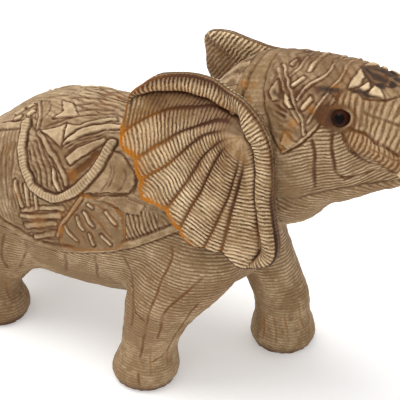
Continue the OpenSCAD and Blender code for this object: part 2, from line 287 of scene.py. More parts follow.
def carved_wood(name, lime, wood, wash, ochre, soot, line_depth=0.5, bite=0.95):
    m = bpy.data.materials.new(name)
    m.use_nodes = True
    w = Wire(m.node_tree)
    read_mark = {k: w.node("ShaderNodeAttribute", {"attribute_name": k}, {}, "Fac") for k in marks}
    place = w.node("ShaderNodeTexCoord", {}, {}, "Object")
    wide = w.noise(place, 45.0, 3.0, 0.6)
    spot = w.noise(place, 210.0, 3.0, 0.6)
    fine = w.noise(place, 800.0, 2.0, 0.6)
    beat = (read_mark["hatch"] + (wide - 0.5) * 1.6 + (spot - 0.5) * 0.65
            + (fine - 0.5) * 0.35) * (2 * math.pi)
    wave = beat.sine()
    ridge = (wave * 0.5 + 0.5) * read_mark["cut"]
    broken = spot.ramp(0.30, 0.62) * 0.65 + fine.ramp(0.3, 0.7) * 0.35 + 0.15
    gap = wave.ramp(0.10, -0.85) * read_mark["cut"] * broken
    mottle = w.noise(place, 330.0, 4.0, 0.62)
    grain = w.noise(w.node("ShaderNodeMapping", {}, {"Vector": place, "Scale": (0.22, 1.0, 1.0)}),
                    650.0, 3.0, 0.65)
    # the pale mark lifts the wood towards lime and the wash mark sinks it towards brown; besides real lime
    # and wash they carry painted light and painted shade
    rub_and_light = (ridge * ridge * 0.55 * (fine * 0.9 + 0.35) + read_mark["pale"] + (wide - 0.5) * 1.5
           + (spot - 0.5) * 0.9 + (fine - 0.5) * 0.6 + 0.06).held()
    tone = w.blend(rub_and_light, wood, lime)
    tone = w.blend(((grain - 0.50) * 1.8).held() * 0.45, tone, wash)
    brown = (gap * bite + read_mark["wash"] * (0.25 + spot * 0.9 + fine * 0.25)
             + ((mottle - 0.55) * 1.6).held()).held()
    tone = w.blend(brown, tone, wash)
    gold = (read_mark["ochre"] * (spot * 1.5 + fine * 0.4)).ramp(0.1, 1.0)
    tone = w.blend(gold, tone, ochre)
    tone = w.blend((read_mark["dark"] * (spot * 1.2 + fine * 0.5)).ramp(0.12, 0.9), tone, soot)
    high = ridge * line_depth + (fine - 0.5) * 0.12 + (grain - 0.5) * 0.10
    bump = w.node("ShaderNodeBump", {}, {"Strength": 1.0, "Distance": 0.001, "Height": high}, "Normal")
    shader = m.node_tree.nodes["Principled BSDF"]
    m.node_tree.links.new(tone.socket, shader.inputs["Base Color"])
    m.node_tree.links.new(bump.socket, shader.inputs["Normal"])
    m.node_tree.links.new((0.78 - gold * 0.2 - brown * 0.1).socket, shader.inputs["Roughness"])
    shader.inputs["Specular IOR Level"].default_value = 0.25
    return m

lime, bare, walnut = rgb(220, 194, 156), rgb(135, 108, 75), rgb(80, 46, 17)
honey, soot = rgb(158, 98, 24), rgb(50, 34, 24)
body_wood = carved_wood("carved_wood_body", lime, bare, walnut, honey, soot, 0.45)

co, edges = read(block)
across = np.zeros(len(co) * 3, np.float32)
block.data.vertices.foreach_get("normal", across)
across = across.reshape(-1, 3).astype(float)
tree = BVHTree.FromPolygons(co.tolist(), [tuple(p.vertices) for p in block.data.polygons])

def soft(a, b, v):
    t = np.clip((v - a) / (b - a), 0, 1)
    return t * t * (3 - 2 * t)

# The left side is cut as a mirror of the right. Its legs stand elsewhere in the stride, so the
# cuts slide over with them. Each row is a height, then where the leg's middle is: ahead, across.
leg_lines = {
    "front_right": [(0, -15, -37), (23, -12, -37), (35, -9, -37), (50, -3, -36), (66, 7, -34),
                    (86, 14, -30), (106, 16, -25)],
    "front_left": [(0, 41, 37), (23, 41, 36), (35, 40, 36), (50, 34, 35), (66, 28, 33),
                   (86, 21, 30), (106, 17, 25)],
    "hind_right": [(0, -132, -30), (23, -135, -31), (35, -138, -31), (50, -139, -31), (66, -136, -29),
                   (84, -131, -26), (106, -123, -20)],
    "hind_left": [(0, -166, 30), (23, -165, 31), (35, -162, 31), (50, -155, 31), (66, -147, 29),
                  (84, -139, 26), (106, -129, 20)],
}

def leg_at(name, z, column):
    rows = leg_lines[name]
    return np.interp(z, [r[0] for r in rows], [r[column] for r in rows])

x, y, z = co.T
front_slide = leg_at("front_left", z, 1) - leg_at("front_right", z, 1)
hind_slide = leg_at("hind_left", z, 1) - leg_at("hind_right", z, 1)
slide = np.where(x > -62, front_slide * soft(-50, -10, x + (60 - z).clip(0, None)), hind_slide)
slide = np.where((y > 0) & (z < 106), slide, 0.0) * soft(112, 70, z)
folded = np.stack([x - slide, -np.abs(y), z], 1)
shake = np.random.default_rng(21)
unshaken = folded.copy()
for length, size in ((17, 0.42), (11, 0.28), (7, 0.15), (5, 0.09), (3.6, 0.05)):
    for k in range(3):
        d = shake.normal(0, 1, 3)
        d *= 2 * np.pi / length / np.linalg.norm(d)
        folded[:, k] += size * np.sin(unshaken @ d + shake.uniform(0, 6.3))
around = np.degrees(np.arctan2(folded[:, 2] - 100, -folded[:, 1]))
crown = np.array([84 - middle, 0.0, 153.0])
face_way = np.array([97, 0, 34.0]) / math.hypot(97, 34)
face_up = np.array([-face_way[2], 0, face_way[0]])
face_t = (folded - crown) @ face_way
face_h = (folded - crown) @ face_up
face_a = np.degrees(np.arctan2(face_h, -folded[:, 1]))
calm_t = (unshaken * 0.85 + folded * 0.15 - crown) @ face_way
calm_h = (unshaken * 0.85 + folded * 0.15 - crown) @ face_up
lift, stain_and_shade, lime_and_light, gold, burnt = (np.zeros(len(co)) for _ in range(5))

def eased(a, b, c, d, t):
    return 0.5 * (2 * b + (c - a) * t + (2 * a - 5 * b + 4 * c - d) * t * t
                  + (3 * b - a - 3 * c + d) * t ** 3)

def flowing(points, gap=1.2):
    p = np.array(points, float)
    if len(p) < 3:
        return np.linspace(p[0], p[-1], 12)
    r = np.vstack([2 * p[0] - p[1], p, 2 * p[-1] - p[-2]])
    out = []
    for k in range(len(p) - 1):
        t = np.linspace(0, 1, max(3, int(np.linalg.norm(p[k + 1] - p[k]) / gap)), endpoint=False)[:, None]
        out.append(eased(*r[k:k + 4], t))
    return np.vstack(out + [p[-1:]])

# A place on the wood is given from the side as (ahead, height), on the flank as (ahead, degrees
# round the barrel of the body) and on the face as (along the head, degrees round it).
def on_wood(place, points):
    line = []
    for a, b in points:
        turn = math.radians(b)
        if place == "side":
            spot, way = Vector((a, -150, b)), Vector((0, 1, 0))
        elif place == "flank":
            spot, way = Vector((a, 0, 100)), Vector((0, -math.cos(turn), math.sin(turn)))
        else:
            spot = Vector(crown + face_way * a)
            way = Vector(face_up * math.sin(turn)) + Vector((0, -math.cos(turn), 0))
        hit = tree.ray_cast(spot, way, 400)[0]
        if hit is not None:
            line.append(tuple(hit))
    return np.array(line)

def near(line, reach):
    low, high = line.min(0) - reach, line.max(0) + reach
    index = np.flatnonzero(((folded >= low) & (folded <= high)).all(1))
    d = np.full(len(index), 1e9)
    run = np.zeros(len(index))
    spots = folded[index]
    at = 0.0
    for a, b in zip(line[:-1], line[1:]):
        ab = b - a
        size = float(np.linalg.norm(ab))
        if size < 1e-6:
            continue
        t = np.clip(((spots - a) @ ab) / size ** 2, 0, 1)
        new = np.linalg.norm(spots - a - t[:, None] * ab, axis=1)
        closer = new < d
        d[closer] = new[closer]
        run[closer] = at + t[closer] * size
        at += size
    close = d < reach
    return index[close], d[close], run[close], at

def groove(place, points, wide=0.8, deep=0.7, wash=0.7, amber=0.0, soot=0.0):
    line = on_wood(place, flowing(points))
    if len(line) < 2:
        return
    i, d, run, total = near(line, wide * 3 + 1)
    ends = soft(0, 3, run) * soft(0, 3, total - run) * 0.8 + 0.2
    v = np.exp(-(d / wide) ** 2) * ends
    lift[i] -= deep * v
    w = np.exp(-(d / (wide * 1.25)) ** 2) * ends
    stain_and_shade[i] = np.maximum(stain_and_shade[i], wash * w)
    gold[i] = np.maximum(gold[i], amber * np.exp(-(d / (wide * 2)) ** 2) * ends)
    burnt[i] = np.maximum(burnt[i], soot * w)
    cut[i] *= 1 - 0.8 * w

def bead(place, points, half=1.6, high=1.1, wash=0.6, ribs=0.0, pale=0.3, lines=0.0):
    line = on_wood(place, flowing(points))
    if len(line) < 2:
        return
    i, d, run, _ = near(line, half + 3)
    body = np.sqrt(np.clip(1 - (d / half) ** 2, 0, 1))
    inside = soft(half * 1.05, half * 0.85, d)
    if ribs:
        body = body * (1 + 0.07 * np.sin(2 * np.pi * run / ribs))
    lift[i] = lift[i] * (1 - inside) + (np.maximum(lift[i], 0) * 0.4 + high * body) * inside
    rim = np.exp(-((d - half - 0.5) / 0.8) ** 2)
    lift[i] -= 0.5 * rim
    stain_and_shade[i] = np.maximum(stain_and_shade[i] * (1 - inside), wash * rim)
    lime_and_light[i] = lime_and_light[i] * (1 - inside) + pale * inside
    cut[i] *= 1 - inside
    if lines:
        hatch[i] = np.where(inside > 0.3, run / lines, hatch[i])
        cut[i] = np.maximum(cut[i], 0.32 * inside)

def inside_of(outline, a, b):
    outline = np.array(outline, float)
    hit = np.zeros(len(a), bool)
    for (x0, y0), (x1, y1) in zip(outline, np.roll(outline, -1, 0)):
        if y0 == y1:
            continue
        crosses = (y0 > b) != (y1 > b)
        hit ^= crosses & (a < (x1 - x0) * (b - y0) / (y1 - y0) + x0)
    return hit

def leaf(place, outline, high=0.8, wash=0.7, pale=0.25, amber=0.0, soot=0.0):
    sides = [flowing([p, r], 1.5)[:-1] for p, r in zip(outline, outline[1:] + outline[:1])]
    line = on_wood(place, np.vstack(sides))
    if len(line) < 3:
        return
    i, d, _, _ = near(np.vstack([line, line[:1]]), 60)
    a, b = (folded[i, 0], around[i]) if place == "flank" else (face_t[i], face_a[i])
    signed = np.where(inside_of(outline, a, b), d, -d)
    near_by = signed > -4
    i, signed = i[near_by], signed[near_by]
    up = soft(-0.2, 1.1, signed)
    lift[i] = lift[i] * (1 - up * 0.8) + high * up
    rim = np.exp(-((signed + 0.5) / 0.7) ** 2)
    lift[i] -= 0.45 * rim
    stain_and_shade[i] = np.maximum(stain_and_shade[i] * (1 - up), wash * rim)
    lime_and_light[i] = lime_and_light[i] * (1 - up) + pale * up
    gold[i] = np.maximum(gold[i] * (1 - up), amber * rim)
    burnt[i] = np.maximum(burnt[i], soot * rim)
    cut[i] *= 1 - up

def away_from(place, a, b):
    return np.linalg.norm(folded - on_wood(place, [(a, b)])[0], axis=1)

# Close level cuts over the legs and the lower flank, a little bowed.
leg_cut_gap = 2.05
height = unshaken[:, 2] * 0.85 + folded[:, 2] * 0.15
hatch = (height / leg_cut_gap + 0.35 * np.sin(folded[:, 0] / 9.0)
         + 0.25 * np.sin(folded[:, 0] / 23.0 + height / 17.0))
cut = 0.36 + 0.32 * soft(30, 80, height)

# The back cloth: a raised field with a beaded hem, full of cut leaves and blades.
hem = [(-158, 90), (-157, 60), (-151, 30), (-139, 5), (-125, -10), (-111, -17), (-90, -22), (-68, -23),
       (-39, -13), (-20, -2), (5, 18), (22, 33), (34, 55), (40, 90)]
hem_line = flowing(hem, 4)
order = np.argsort(hem_line[:, 0])
hem_low = np.interp(folded[:, 0], hem_line[order, 0], hem_line[order, 1], left=120, right=120)
is_cloth = (around > hem_low) & (folded[:, 0] < 44) & (folded[:, 2] > 70) & (face_t < 20)
lift[is_cloth] += 0.25
cut[is_cloth] = 0.0
cloth_x, cloth_a = folded[:, 0], around

def field(box, phase, strength, amber=0.0, wash=0.0):
    x0, x1, a0, a1 = box
    m = is_cloth & (cloth_x > x0) & (cloth_x < x1) & (cloth_a > a0) & (cloth_a < a1)
    soft_in = (soft(x0, x0 + 3, cloth_x) * soft(x1, x1 - 3, cloth_x)
               * soft(a0, a0 + 4, cloth_a) * soft(a1, a1 - 4, cloth_a))[m]
    hatch[m] = phase[m]
    cut[m] = strength * soft_in
    gold[m] += amber * soft_in
    stain_and_shade[m] += wash * soft_in

arc = around * 0.95
field((-170, 60, -40, 100), (arc + 3 * np.sin(cloth_x / 14)) / 3.4, 0.35)
field((-170, -98, -15, 58), (cloth_x + 0.25 * arc) / 3.2, 0.45, 0.1)
field((-102, -76, -3, 24), (cloth_x + 0.12 * arc) / 2.6, 0.75, 0.08)
field((-92, -62, -24, 14), (arc - 0.25 * cloth_x) / 3.6, 0.6, 0.2, 0.25)
field((-30, 6, -8, 30), (cloth_x + 0.42 * arc) / 3.0, 0.85, 0.1, 0.1)
field((-66, -20, -26, 24), (cloth_x * 0.75 + arc) / 4.5, 0.35, 0.2, 0.25)
field((-80, 40, 74, 100), (arc + 0.10 * cloth_x) / 3.8, 0.7, 0.16, 0.05)
field((0, 40, 20, 80), (cloth_x * 0.5 + arc) / 3.4, 0.6, 0.2)
lime_and_light += 0.28 * is_cloth * soft(52, 82, around)
bead("flank", hem, 2.5, 1.5, 0.6, pale=-0.08)
for a, b, size, much in ((-46, 4, 15, 0.7), (-62, -6, 12, 0.6), (-80, -4, 15, 0.5), (-34, 8, 10, 0.5),
                         (-58, 36, 8, 0.7), (-58, 84, 20, 0.35), (-95, 12, 10, 0.4), (-108, 40, 12, 0.3),
                         (-26, 12, 10, 0.4), (-48, 24, 8, 0.5)):
    d = away_from("flank", a, b)
    stain_and_shade += 0.45 * much * soft(size, 0, d)
    gold = np.maximum(gold, much * soft(size, 0, d))

# leaf under the loop
leaf("flank", [(-49, 25), (-39, 27), (-28, 24), (-22, 19), (-21, 10), (-21, 2), (-26, -6), (-38, -12),
               (-54, -17), (-66, -16), (-58, 4)], 0.5, 0.7, -0.12, 0.6)
in_leaf = is_cloth & (folded[:, 0] > -66) & (folded[:, 0] < -20) & (around > -20) & (around < 27)
stain_and_shade += 0.18 * in_leaf
gold += 0.12 * in_leaf
for line in ([(-46, 16), (-36, 10), (-27, 0)], [(-45, 22), (-36, 21), (-28, 16), (-24, 8)],
             [(-53, 4), (-49, -4), (-46, -12)], [(-50, 12), (-44, 2), (-38, -8)],
             [(-57, -2), (-54, -8), (-52, -15)]):
    groove("flank", line, 0.7, 0.7, 0.7, 0.5)
for a, b in (((-52, 9), (-48, 2)), ((-47, 14), (-41, 7)), ((-60, -1), (-54, -10)), ((-44, -1), (-42, -9)),
             ((-35, 1), (-31, -5)), ((-33, 19), (-26, 13)), ((-45, 21), (-42, 19))):
    bead("flank", [a, b], 1.15, 1.0, 0.8, pale=0.4)
for line in ([(-91, 0), (-78, 7), (-62, 12)], [(-92, -5), (-80, -1), (-64, 6)],
             [(-90, -12), (-80, -7), (-67, -1)], [(-84, -19), (-76, -14), (-68, -9)]):
    bead("flank", line, 1.6, 0.7, 0.7, pale=0.1)
stalk = [(-50, 24), (-54, 16), (-58, 8), (-63, -1), (-67, -11)]
bead("flank", stalk, 1.0, 1.0, 0.7, pale=0.25)
groove("flank", stalk, 0.45, 0.6, 0.5)

# bars and cuts at the left
for a, b in (((-97, 20), (-92, 3)), ((-89, 20), (-87, 6)), ((-82, 17), (-81, 6))):
    bead("flank", [a, b], 1.3, 0.9, 0.7, pale=0.25)
for k in range(7):
    groove("flank", [(-104 - 4.5 * k, 48 - 2 * k), (-101 - 4.5 * k, 25), (-98 - 4.0 * k, 4)], 0.8, 0.6, 0.55)

# petal with nested arcs
leaf("flank", [(-49, 27), (-40, 31), (-21, 36), (-18, 42), (-21, 49), (-29, 56), (-38, 58), (-43, 48)],
     0.6, 0.9, 0.0)
for line in ([(-38, 53), (-34, 46), (-34, 39), (-38, 31)], [(-36, 53), (-32, 46), (-32, 39), (-36, 31)],
             [(-27, 50), (-24, 45), (-25, 39), (-28, 35)]):
    groove("flank", line, 0.6, 0.6, 0.6)
for line in ([(-48, 27), (-36, 30), (-20, 35)], [(-19, 36), (-17, 42), (-20, 50)]):
    groove("flank", line, 0.8, 0.8, 1.0, 0.2)
leaf("flank", [(-41, 26), (-34, 30), (-22, 33), (-10, 31), (-12, 24), (-20, 22), (-27, 25)], 0.35, 0.5, 0.0)

# cut feathers inside the loop
for line in ([(-94, 42), (-91, 36), (-87, 29), (-82, 23)], [(-94, 46), (-89, 39), (-84, 31), (-79, 22)],
             [(-94, 49), (-87, 42), (-81, 33), (-76, 21)], [(-92, 51), (-84, 44), (-77, 34), (-72, 23)],
             [(-90, 53), (-81, 45), (-73, 35), (-69, 24)], [(-87, 53), (-78, 46), (-70, 36), (-66, 26)]):
    groove("flank", line, 0.75, 0.8, 0.85)
leaf("flank", [(-73, 37), (-70, 36), (-66, 28), (-62, 23), (-66, 24), (-69, 28)], 0.9, 0.9, 0.5)
bead("flank", [(-90, 56), (-82, 50), (-75, 45), (-69, 41), (-64, 35), (-61, 30)], 1.5, 1.0, 0.8, pale=0.1)

# blades and flat triangles sweeping up and forward
leaf("flank", [(-88, 57), (-80, 61), (-74, 64), (-72, 56), (-70, 49), (-78, 53)], 0.8, 0.8, 0.35)
leaf("flank", [(-73, 64), (-64, 66), (-54, 73), (-46, 78), (-44, 76), (-56, 69), (-66, 62), (-71, 55)],
     0.7, 0.8, 0.3)
leaf("flank", [(-71, 50), (-69, 57), (-64, 63), (-56, 68), (-46, 72), (-38, 76), (-40, 71), (-49, 67),
               (-58, 61), (-66, 55)], 0.9, 0.9, 0.4)
leaf("flank", [(-65, 46), (-60, 52), (-53, 58), (-46, 63), (-43, 61), (-49, 55), (-56, 48), (-61, 42)],
     0.9, 1.0, 0.35)
for line in ([(-88, 58), (-83, 63), (-73, 68), (-61, 74), (-46, 80)],
             [(-70, 51), (-61, 59), (-50, 66), (-40, 71)],
             [(-68, 49), (-60, 57), (-49, 64), (-40, 68)], [(-66, 47), (-58, 56), (-47, 63)]):
    groove("flank", line, 0.7, 0.8, 0.8, 0.15)
groove("flank", [(-46, 56), (-49, 48), (-55, 40), (-60, 32)], 2.2, 1.5, 1.2, 0.3, 0.15)
leaf("flank", [(-86, 81), (-80, 72), (-84, 66), (-76, 68), (-69, 71), (-76, 78)], 0.8, 0.7, 0.4)
leaf("flank", [(-104, 78), (-98, 66), (-93, 62), (-90, 72), (-96, 80)], 0.5, 0.6, 0.1)
bead("flank", [(-103, 79), (-97, 70), (-93, 62), (-92, 58)], 1.0, 1.0, 0.7, pale=0.2)
for line in ([(-83, 83), (-70, 86), (-56, 89)], [(-72, 74), (-60, 79), (-48, 82)],
             [(-76, 78), (-62, 83), (-48, 86)], [(-105, 63), (-96, 59), (-86, 54)],
             [(-100, 82), (-92, 85), (-84, 86)]):
    groove("flank", line, 0.9, 0.9, 0.7, 0.15)
for a, b in (((-114, 70), (-112, 73)), ((-108, 74), (-106, 76)), ((-113, 64), (-110, 66)),
             ((-104, 67), (-102, 70))):
    bead("flank", [a, b], 1.4, 1.2, 0.8, pale=0.5)
bead("flank", [(-150, 54), (-138, 56), (-125, 57), (-114, 58), (-104, 59)], 2.6, 1.2, 0.7, pale=0.15)

# the ribbed loop
ribbed_loop = [(-102, 61), (-100, 53), (-98, 44), (-94, 36), (-89, 28), (-84, 22), (-77, 19), (-70, 18),
               (-64, 20), (-57, 25), (-50, 32), (-45, 40), (-42, 48), (-41, 55), (-40, 61)]
bead("flank", ribbed_loop, 3.0, 2.1, 0.9, 2.0, 0.25, lines=2.0)

# soft folds over the shoulder behind the ear, and down the rump
for k in range(5):
    groove("flank", [(-16 + 9 * k, 78 - 3 * k), (-8 + 8 * k, 60 - 3 * k), (-4 + 7 * k, 42 - 2 * k)],
           0.8, 0.7, 0.6, 0.1)
for k in range(4):
    groove("flank", [(-148 + 3 * k, 52), (-140 + 5 * k, 30), (-128 + 6 * k, 8)], 0.8, 0.6, 0.5)

# lower flank and legs: long folds between panels of cross cuts
for line in ([(-64, 77), (-66, 68), (-71, 55)], [(-42, 84), (-44, 72), (-47, 58)],
             [(-23, 90), (-18, 75), (-13, 61), (-15, 45)], [(-109, 77), (-113, 60), (-110, 47)],
             [(-93, 76), (-98, 62), (-104, 48)]):
    groove("side", line, 0.9, 0.8, 0.55, 0.1)
for line in ([(8, 107), (10, 97), (5, 82), (1, 67), (-2, 53), (-6, 36), (-9, 24)],
             [(31, 94), (21, 81), (12, 69), (7, 56), (4, 43)], [(29, 76), (14, 50), (4, 29), (-3, 22)],
             [(-18, 75), (-11, 60), (-2, 54)], [(-9, 16), (-7, 6)],
             [(-146, 74), (-141, 60), (-137, 44), (-139, 26)], [(-128, 70), (-127, 52), (-132, 36)]):
    groove("side", line, 0.75, 0.8, 0.75, 0.35)
for name in leg_lines:
    sign = -1 if "right" in name else 1
    dx, dy = x - leg_at(name, z, 1), y - leg_at(name, z, 2)
    r = np.hypot(dx, dy)
    mine = (r < 30) & (z < 62) & (y * sign > 0)
    turn = np.degrees(np.arctan2(dy, dx))
    for deg, low, high, amount in ((-105, 8, 30, 0.8), (-79, 6, 32, 0.5), (-56, 12, 33, 0.55),
                                   (-20, 14, 40, 0.5), (-140, 16, 44, 0.4), (20, 10, 34, 0.4),
                                   (70, 12, 40, 0.4), (110, 8, 30, 0.4), (165, 12, 40, 0.4)):
        if name in ("front_right", "hind_right") and -130 < deg < -60:
            continue
        gap = np.radians(np.abs((turn - deg - 4 * np.sin(z / 7) + 180) % 360 - 180)) * r
        v = np.exp(-(gap / 0.8) ** 2) * soft(low, low + 6, z) * soft(high, high - 8, z) * mine
        lift -= 0.5 * v
        stain_and_shade = np.maximum(stain_and_shade, 0.35 * amount * v)
        gold = np.maximum(gold, amount * np.exp(-(gap / 1.1) ** 2) * v ** 0.5)
sole_edge = soft(7, 1, z)
stain_and_shade += 0.75 * sole_edge
burnt += 0.2 * soft(4, 0.5, z)
# painted shade: the hind legs are darkened towards their feet
stain_and_shade += 0.28 * soft(-85, -112, x) * soft(60, 25, z)

# the face: level cuts on the cheek, rings round the trunk
cheek_cut_gap = 2.0
trunk_ring_gap = 2.5
is_face = face_t > 18
neck_strip = is_face & (face_t < 44)
hatch = np.where(is_face, calm_h / cheek_cut_gap + 0.3 * np.sin(calm_t / 5.0), hatch)
cut = np.where(is_face, 0.85, cut)
cut = np.where(neck_strip, 0.25 + 0.6 * soft(34, 46, face_t), cut)
jaw_edge = np.interp(face_t, [30, 34, 50, 66, 88, 110], [-24, -29, -32, -40, -62, -80])
under = is_face & (face_a < jaw_edge)
hatch = np.where(under, (calm_t * 0.8 - unshaken[:, 1] * 0.75) / 2.1, hatch)
cut = np.where(under, 0.7, cut)
trunk_x, trunk_z = flowing([(58, 167), (79, 178), (100, 186), (118, 189), (135, 187), (152, 184),
                            (166, 186), (175, 196), (177, 210), (172, 222), (164, 229)], 1.5).T
along_trunk = np.concatenate([[0], np.cumsum(np.hypot(np.diff(trunk_x), np.diff(trunk_z)))])
trunk_run = np.zeros(len(co))
best = np.full(len(co), 1e9)
for k in range(len(trunk_x) - 1):
    a = np.array([trunk_x[k], trunk_z[k]])
    ab = np.array([trunk_x[k + 1], trunk_z[k + 1]]) - a
    p = unshaken[:, [0, 2]] - a
    t = np.clip(p @ ab / (ab @ ab), 0 if k else -60, 1)
    d = np.linalg.norm(p - t[:, None] * ab, axis=1)
    closer = d < best
    best[closer] = d[closer]
    trunk_run[closer] = along_trunk[k] + t[closer] * np.linalg.norm(ab)
lower_line = np.interp(face_t, [70, 78, 85, 92, 101, 130], [44, 39, 33, 23, 9, 0])
on_trunk = (is_face & (face_t > 70) & (face_a > lower_line)) | (is_face & (trunk_run > 62) & (face_h > -8))
hatch = np.where(on_trunk, trunk_run / trunk_ring_gap, hatch)
cut = np.where(on_trunk, 0.8, cut)
below_trunk = is_face & (face_t < 112) & (face_a <= lower_line) & ~under
in_band = below_trunk & (face_t > 74) & (face_a > lower_line - 22)
down_band = unshaken @ np.array([0.895, 0.25, -0.37])
cheek_fan = below_trunk & (face_t > 64)
fold_t = np.interp(face_a, [-20, 3, 21, 37], [64, 64, 66, 69])
fanned = (calm_h - 0.22 * (calm_t - fold_t).clip(0, None)) / cheek_cut_gap + 0.3 * np.sin(calm_t / 5.0)
hatch = np.where(cheek_fan, fanned, hatch)
squared = down_band + 0.012 * (face_a - lower_line + 11) ** 2
hatch = np.where(in_band, squared / trunk_ring_gap, hatch)
cut = np.where(in_band, 0.95, cut)
stain_and_shade = np.where(in_band, 0.28, np.where(on_trunk, 0.12, stain_and_shade))
gold = np.where(in_band, 0.35, np.where(on_trunk, 0.26, gold))
lime_and_light = np.where(on_trunk, 0.08, lime_and_light)
for line in ([(58, 33), (56, 19), (53, 0), (48, -22)],
             [(69, 37), (66, 21), (64, 3), (64, -10), (66, -17), (72, -20), (84, -26)]):
    groove("face", line, 0.9, 1.0, 1.1, 0.2)
groove("face", [(76, 40), (80, 37), (86, 32), (93, 22), (101, 9), (112, 0)], 1.0, 1.1, 1.0, 0.2)
groove("face", [(75, 36), (75, 24), (78, 13), (82, 2), (90, -5), (99, -9), (112, -14)],
       1.0, 1.1, 1.1, 0.1, 0.3)
groove("face", [(84, 54), (92, 49), (102, 44), (118, 36), (134, 30)], 0.9, 0.8, 0.7, 0.2)
groove("face", [(36, -30), (50, -32), (66, -40), (84, -58)], 0.7, 0.6, 0.5)
groove("face", [(86, 24), (94, 12), (104, 2), (116, -6)], 0.6, 0.6, 0.6)

# the head cloth, coming to a point behind the cheek
veil = [(33, 90), (32, 66), (33, 52), (35, 41), (37, 30), (39, 21), (50, 27), (60, 37), (66, 47),
        (70, 57), (74, 65), (79, 67), (85, 63), (92, 64), (99, 74), (103, 90)]
under_veil = inside_of(veil, face_t, face_a) | ((face_a >= 89) & (face_t > 33) & (face_t < 103))
lift[under_veil] += 0.5
cut[under_veil] = 0.35
hatch[under_veil] = ((face_t * 0.6 + face_a * 0.4) / 3.5)[under_veil]
stain_and_shade[under_veil] = 0.32
groove("face", veil[:6], 0.8, 0.8, 0.9, 0.3)
groove("face", veil[5:], 0.8, 0.8, 0.9, 0.3)
bead("face", [(39, 23), (50, 29), (60, 39), (66, 49), (70, 59)], 0.8, 0.6, 0.5, pale=0.15)
bead("face", [(40, 79), (46, 65), (50, 54), (53, 43), (54, 35)], 0.8, 1.1, 0.8, pale=0.35)
bead("face", [(38, 76), (43, 64), (47, 54), (51, 43)], 0.7, 0.8, 0.6, pale=0.2)
bead("face", [(65, 94), (65, 79), (60, 70), (54, 63), (51, 58)], 0.75, 0.95, 0.75, pale=0.35)
bead("face", [(72, 90), (72, 75), (67, 64), (62, 55), (56, 43)], 0.75, 0.95, 0.75, pale=0.35)
bead("face", [(50, 88), (49, 78), (45, 72)], 0.75, 0.9, 0.7, pale=0.35)
for a, b in (((56, 89), (55, 77)), ((53, 71), (48, 66)), ((58, 59), (54, 53)), ((45, 84), (44, 80))):
    bead("face", [a, b], 1.25, 1.1, 0.9, pale=0.45)
leaf("face", [(35, 62), (39, 69), (41, 63), (40, 57), (37, 57)], 0.9, 1.0, 0.3, 0.2)
leaf("face", [(43, 62), (45, 60), (49, 52), (46, 53), (43, 57)], 0.9, 1.0, 0.4, 0.1)
for line in ([(36, 56), (41, 53), (47, 49)], [(41, 66), (42, 60), (41, 56)], [(37, 52), (40, 50), (46, 46)]):
    groove("face", line, 0.9, 0.8, 1.2, 0, 0.3)
for tab in ([(76, 67), (79, 87), (83, 80), (81, 71)], [(81, 70), (86, 79), (87, 72), (84, 67)],
            [(86, 66), (89, 78), (92, 72), (94, 66)]):
    leaf("face", tab, 1.1, 0.9, 0.6, soot=0.5)
leaf("face", [(40, 30), (43, 36), (46, 33), (49, 29), (43, 25)], 0.7, 0.6, 0.1, 0.2)
groove("face", [(37, 48), (42, 44), (47, 45)], 0.8, 0.7, 0.6, 0.2)
groove("face", [(37, 40), (43, 38), (50, 36)], 0.8, 0.7, 0.6, 0.2)
groove("face", [(76, 93), (82, 84), (90, 78), (98, 84)], 0.9, 0.8, 1.0, 0, 0.5)
for a, b in (((36, 88), (44, 90)), ((60, 92), (68, 96)), ((40, 72), (36, 66))):
    groove("face", [a, ((a[0] + b[0]) / 2, (a[1] + b[1]) / 2 + 2), b], 0.8, 0.7, 0.8)
for t, a, size in ((91, 77, 4.5), (95, 85, 3.5), (104, 88, 4.0)):
    burnt = np.maximum(burnt, 1.3 * soft(size, 0, away_from("face", t, a)))
for line, wide, much in (([(59, 64), (64, 65), (69, 64.5), (74, 65)], 1.5, 0.8),
                         ([(77, 66), (81, 67), (85, 66), (89, 65)], 1.5, 0.9),
                         ([(77, 92), (82, 88), (88, 84), (94, 83)], 1.8, 0.8),
                         ([(36, 63), (41, 60), (42, 57)], 1.4, 0.6)):
    groove("face", line, wide, 0.25, 0.8, 0, much)
burnt += 0.20 * under_veil * soft(74, 82, face_t) * soft(70, 80, face_a)
for t, a, size in ((70, 63, 6), (60, 65, 5), (52, 62, 5), (40, 66, 5), (47, 84, 7), (90, 86, 9), (66, 54, 5)):
    stain_and_shade = stain_and_shade + 0.6 * soft(size, 0, away_from("face", t, a))
for t, a, size in ((44, 33, 8), (48, 42, 7), (40, 26, 6), (58, 52, 6), (19, 68, 7), (25, 66, 6),
                   (23, 58, 5), (70, 67, 5)):
    gold = np.maximum(gold, 0.6 * soft(size, 0, away_from("face", t, a)))
for line in ([(78, 96), (88, 93), (98, 92), (110, 94)], [(82, 102), (94, 99), (106, 99)],
             [(70, 66), (66, 63), (62, 60)], [(80, 70), (79, 67), (78, 63)],
             [(100, 84), (106, 88), (114, 92)], [(93, 84), (99, 88), (104, 92)]):
    groove("face", line, 1.0, 0.5, 0.9, 0, 0.7)

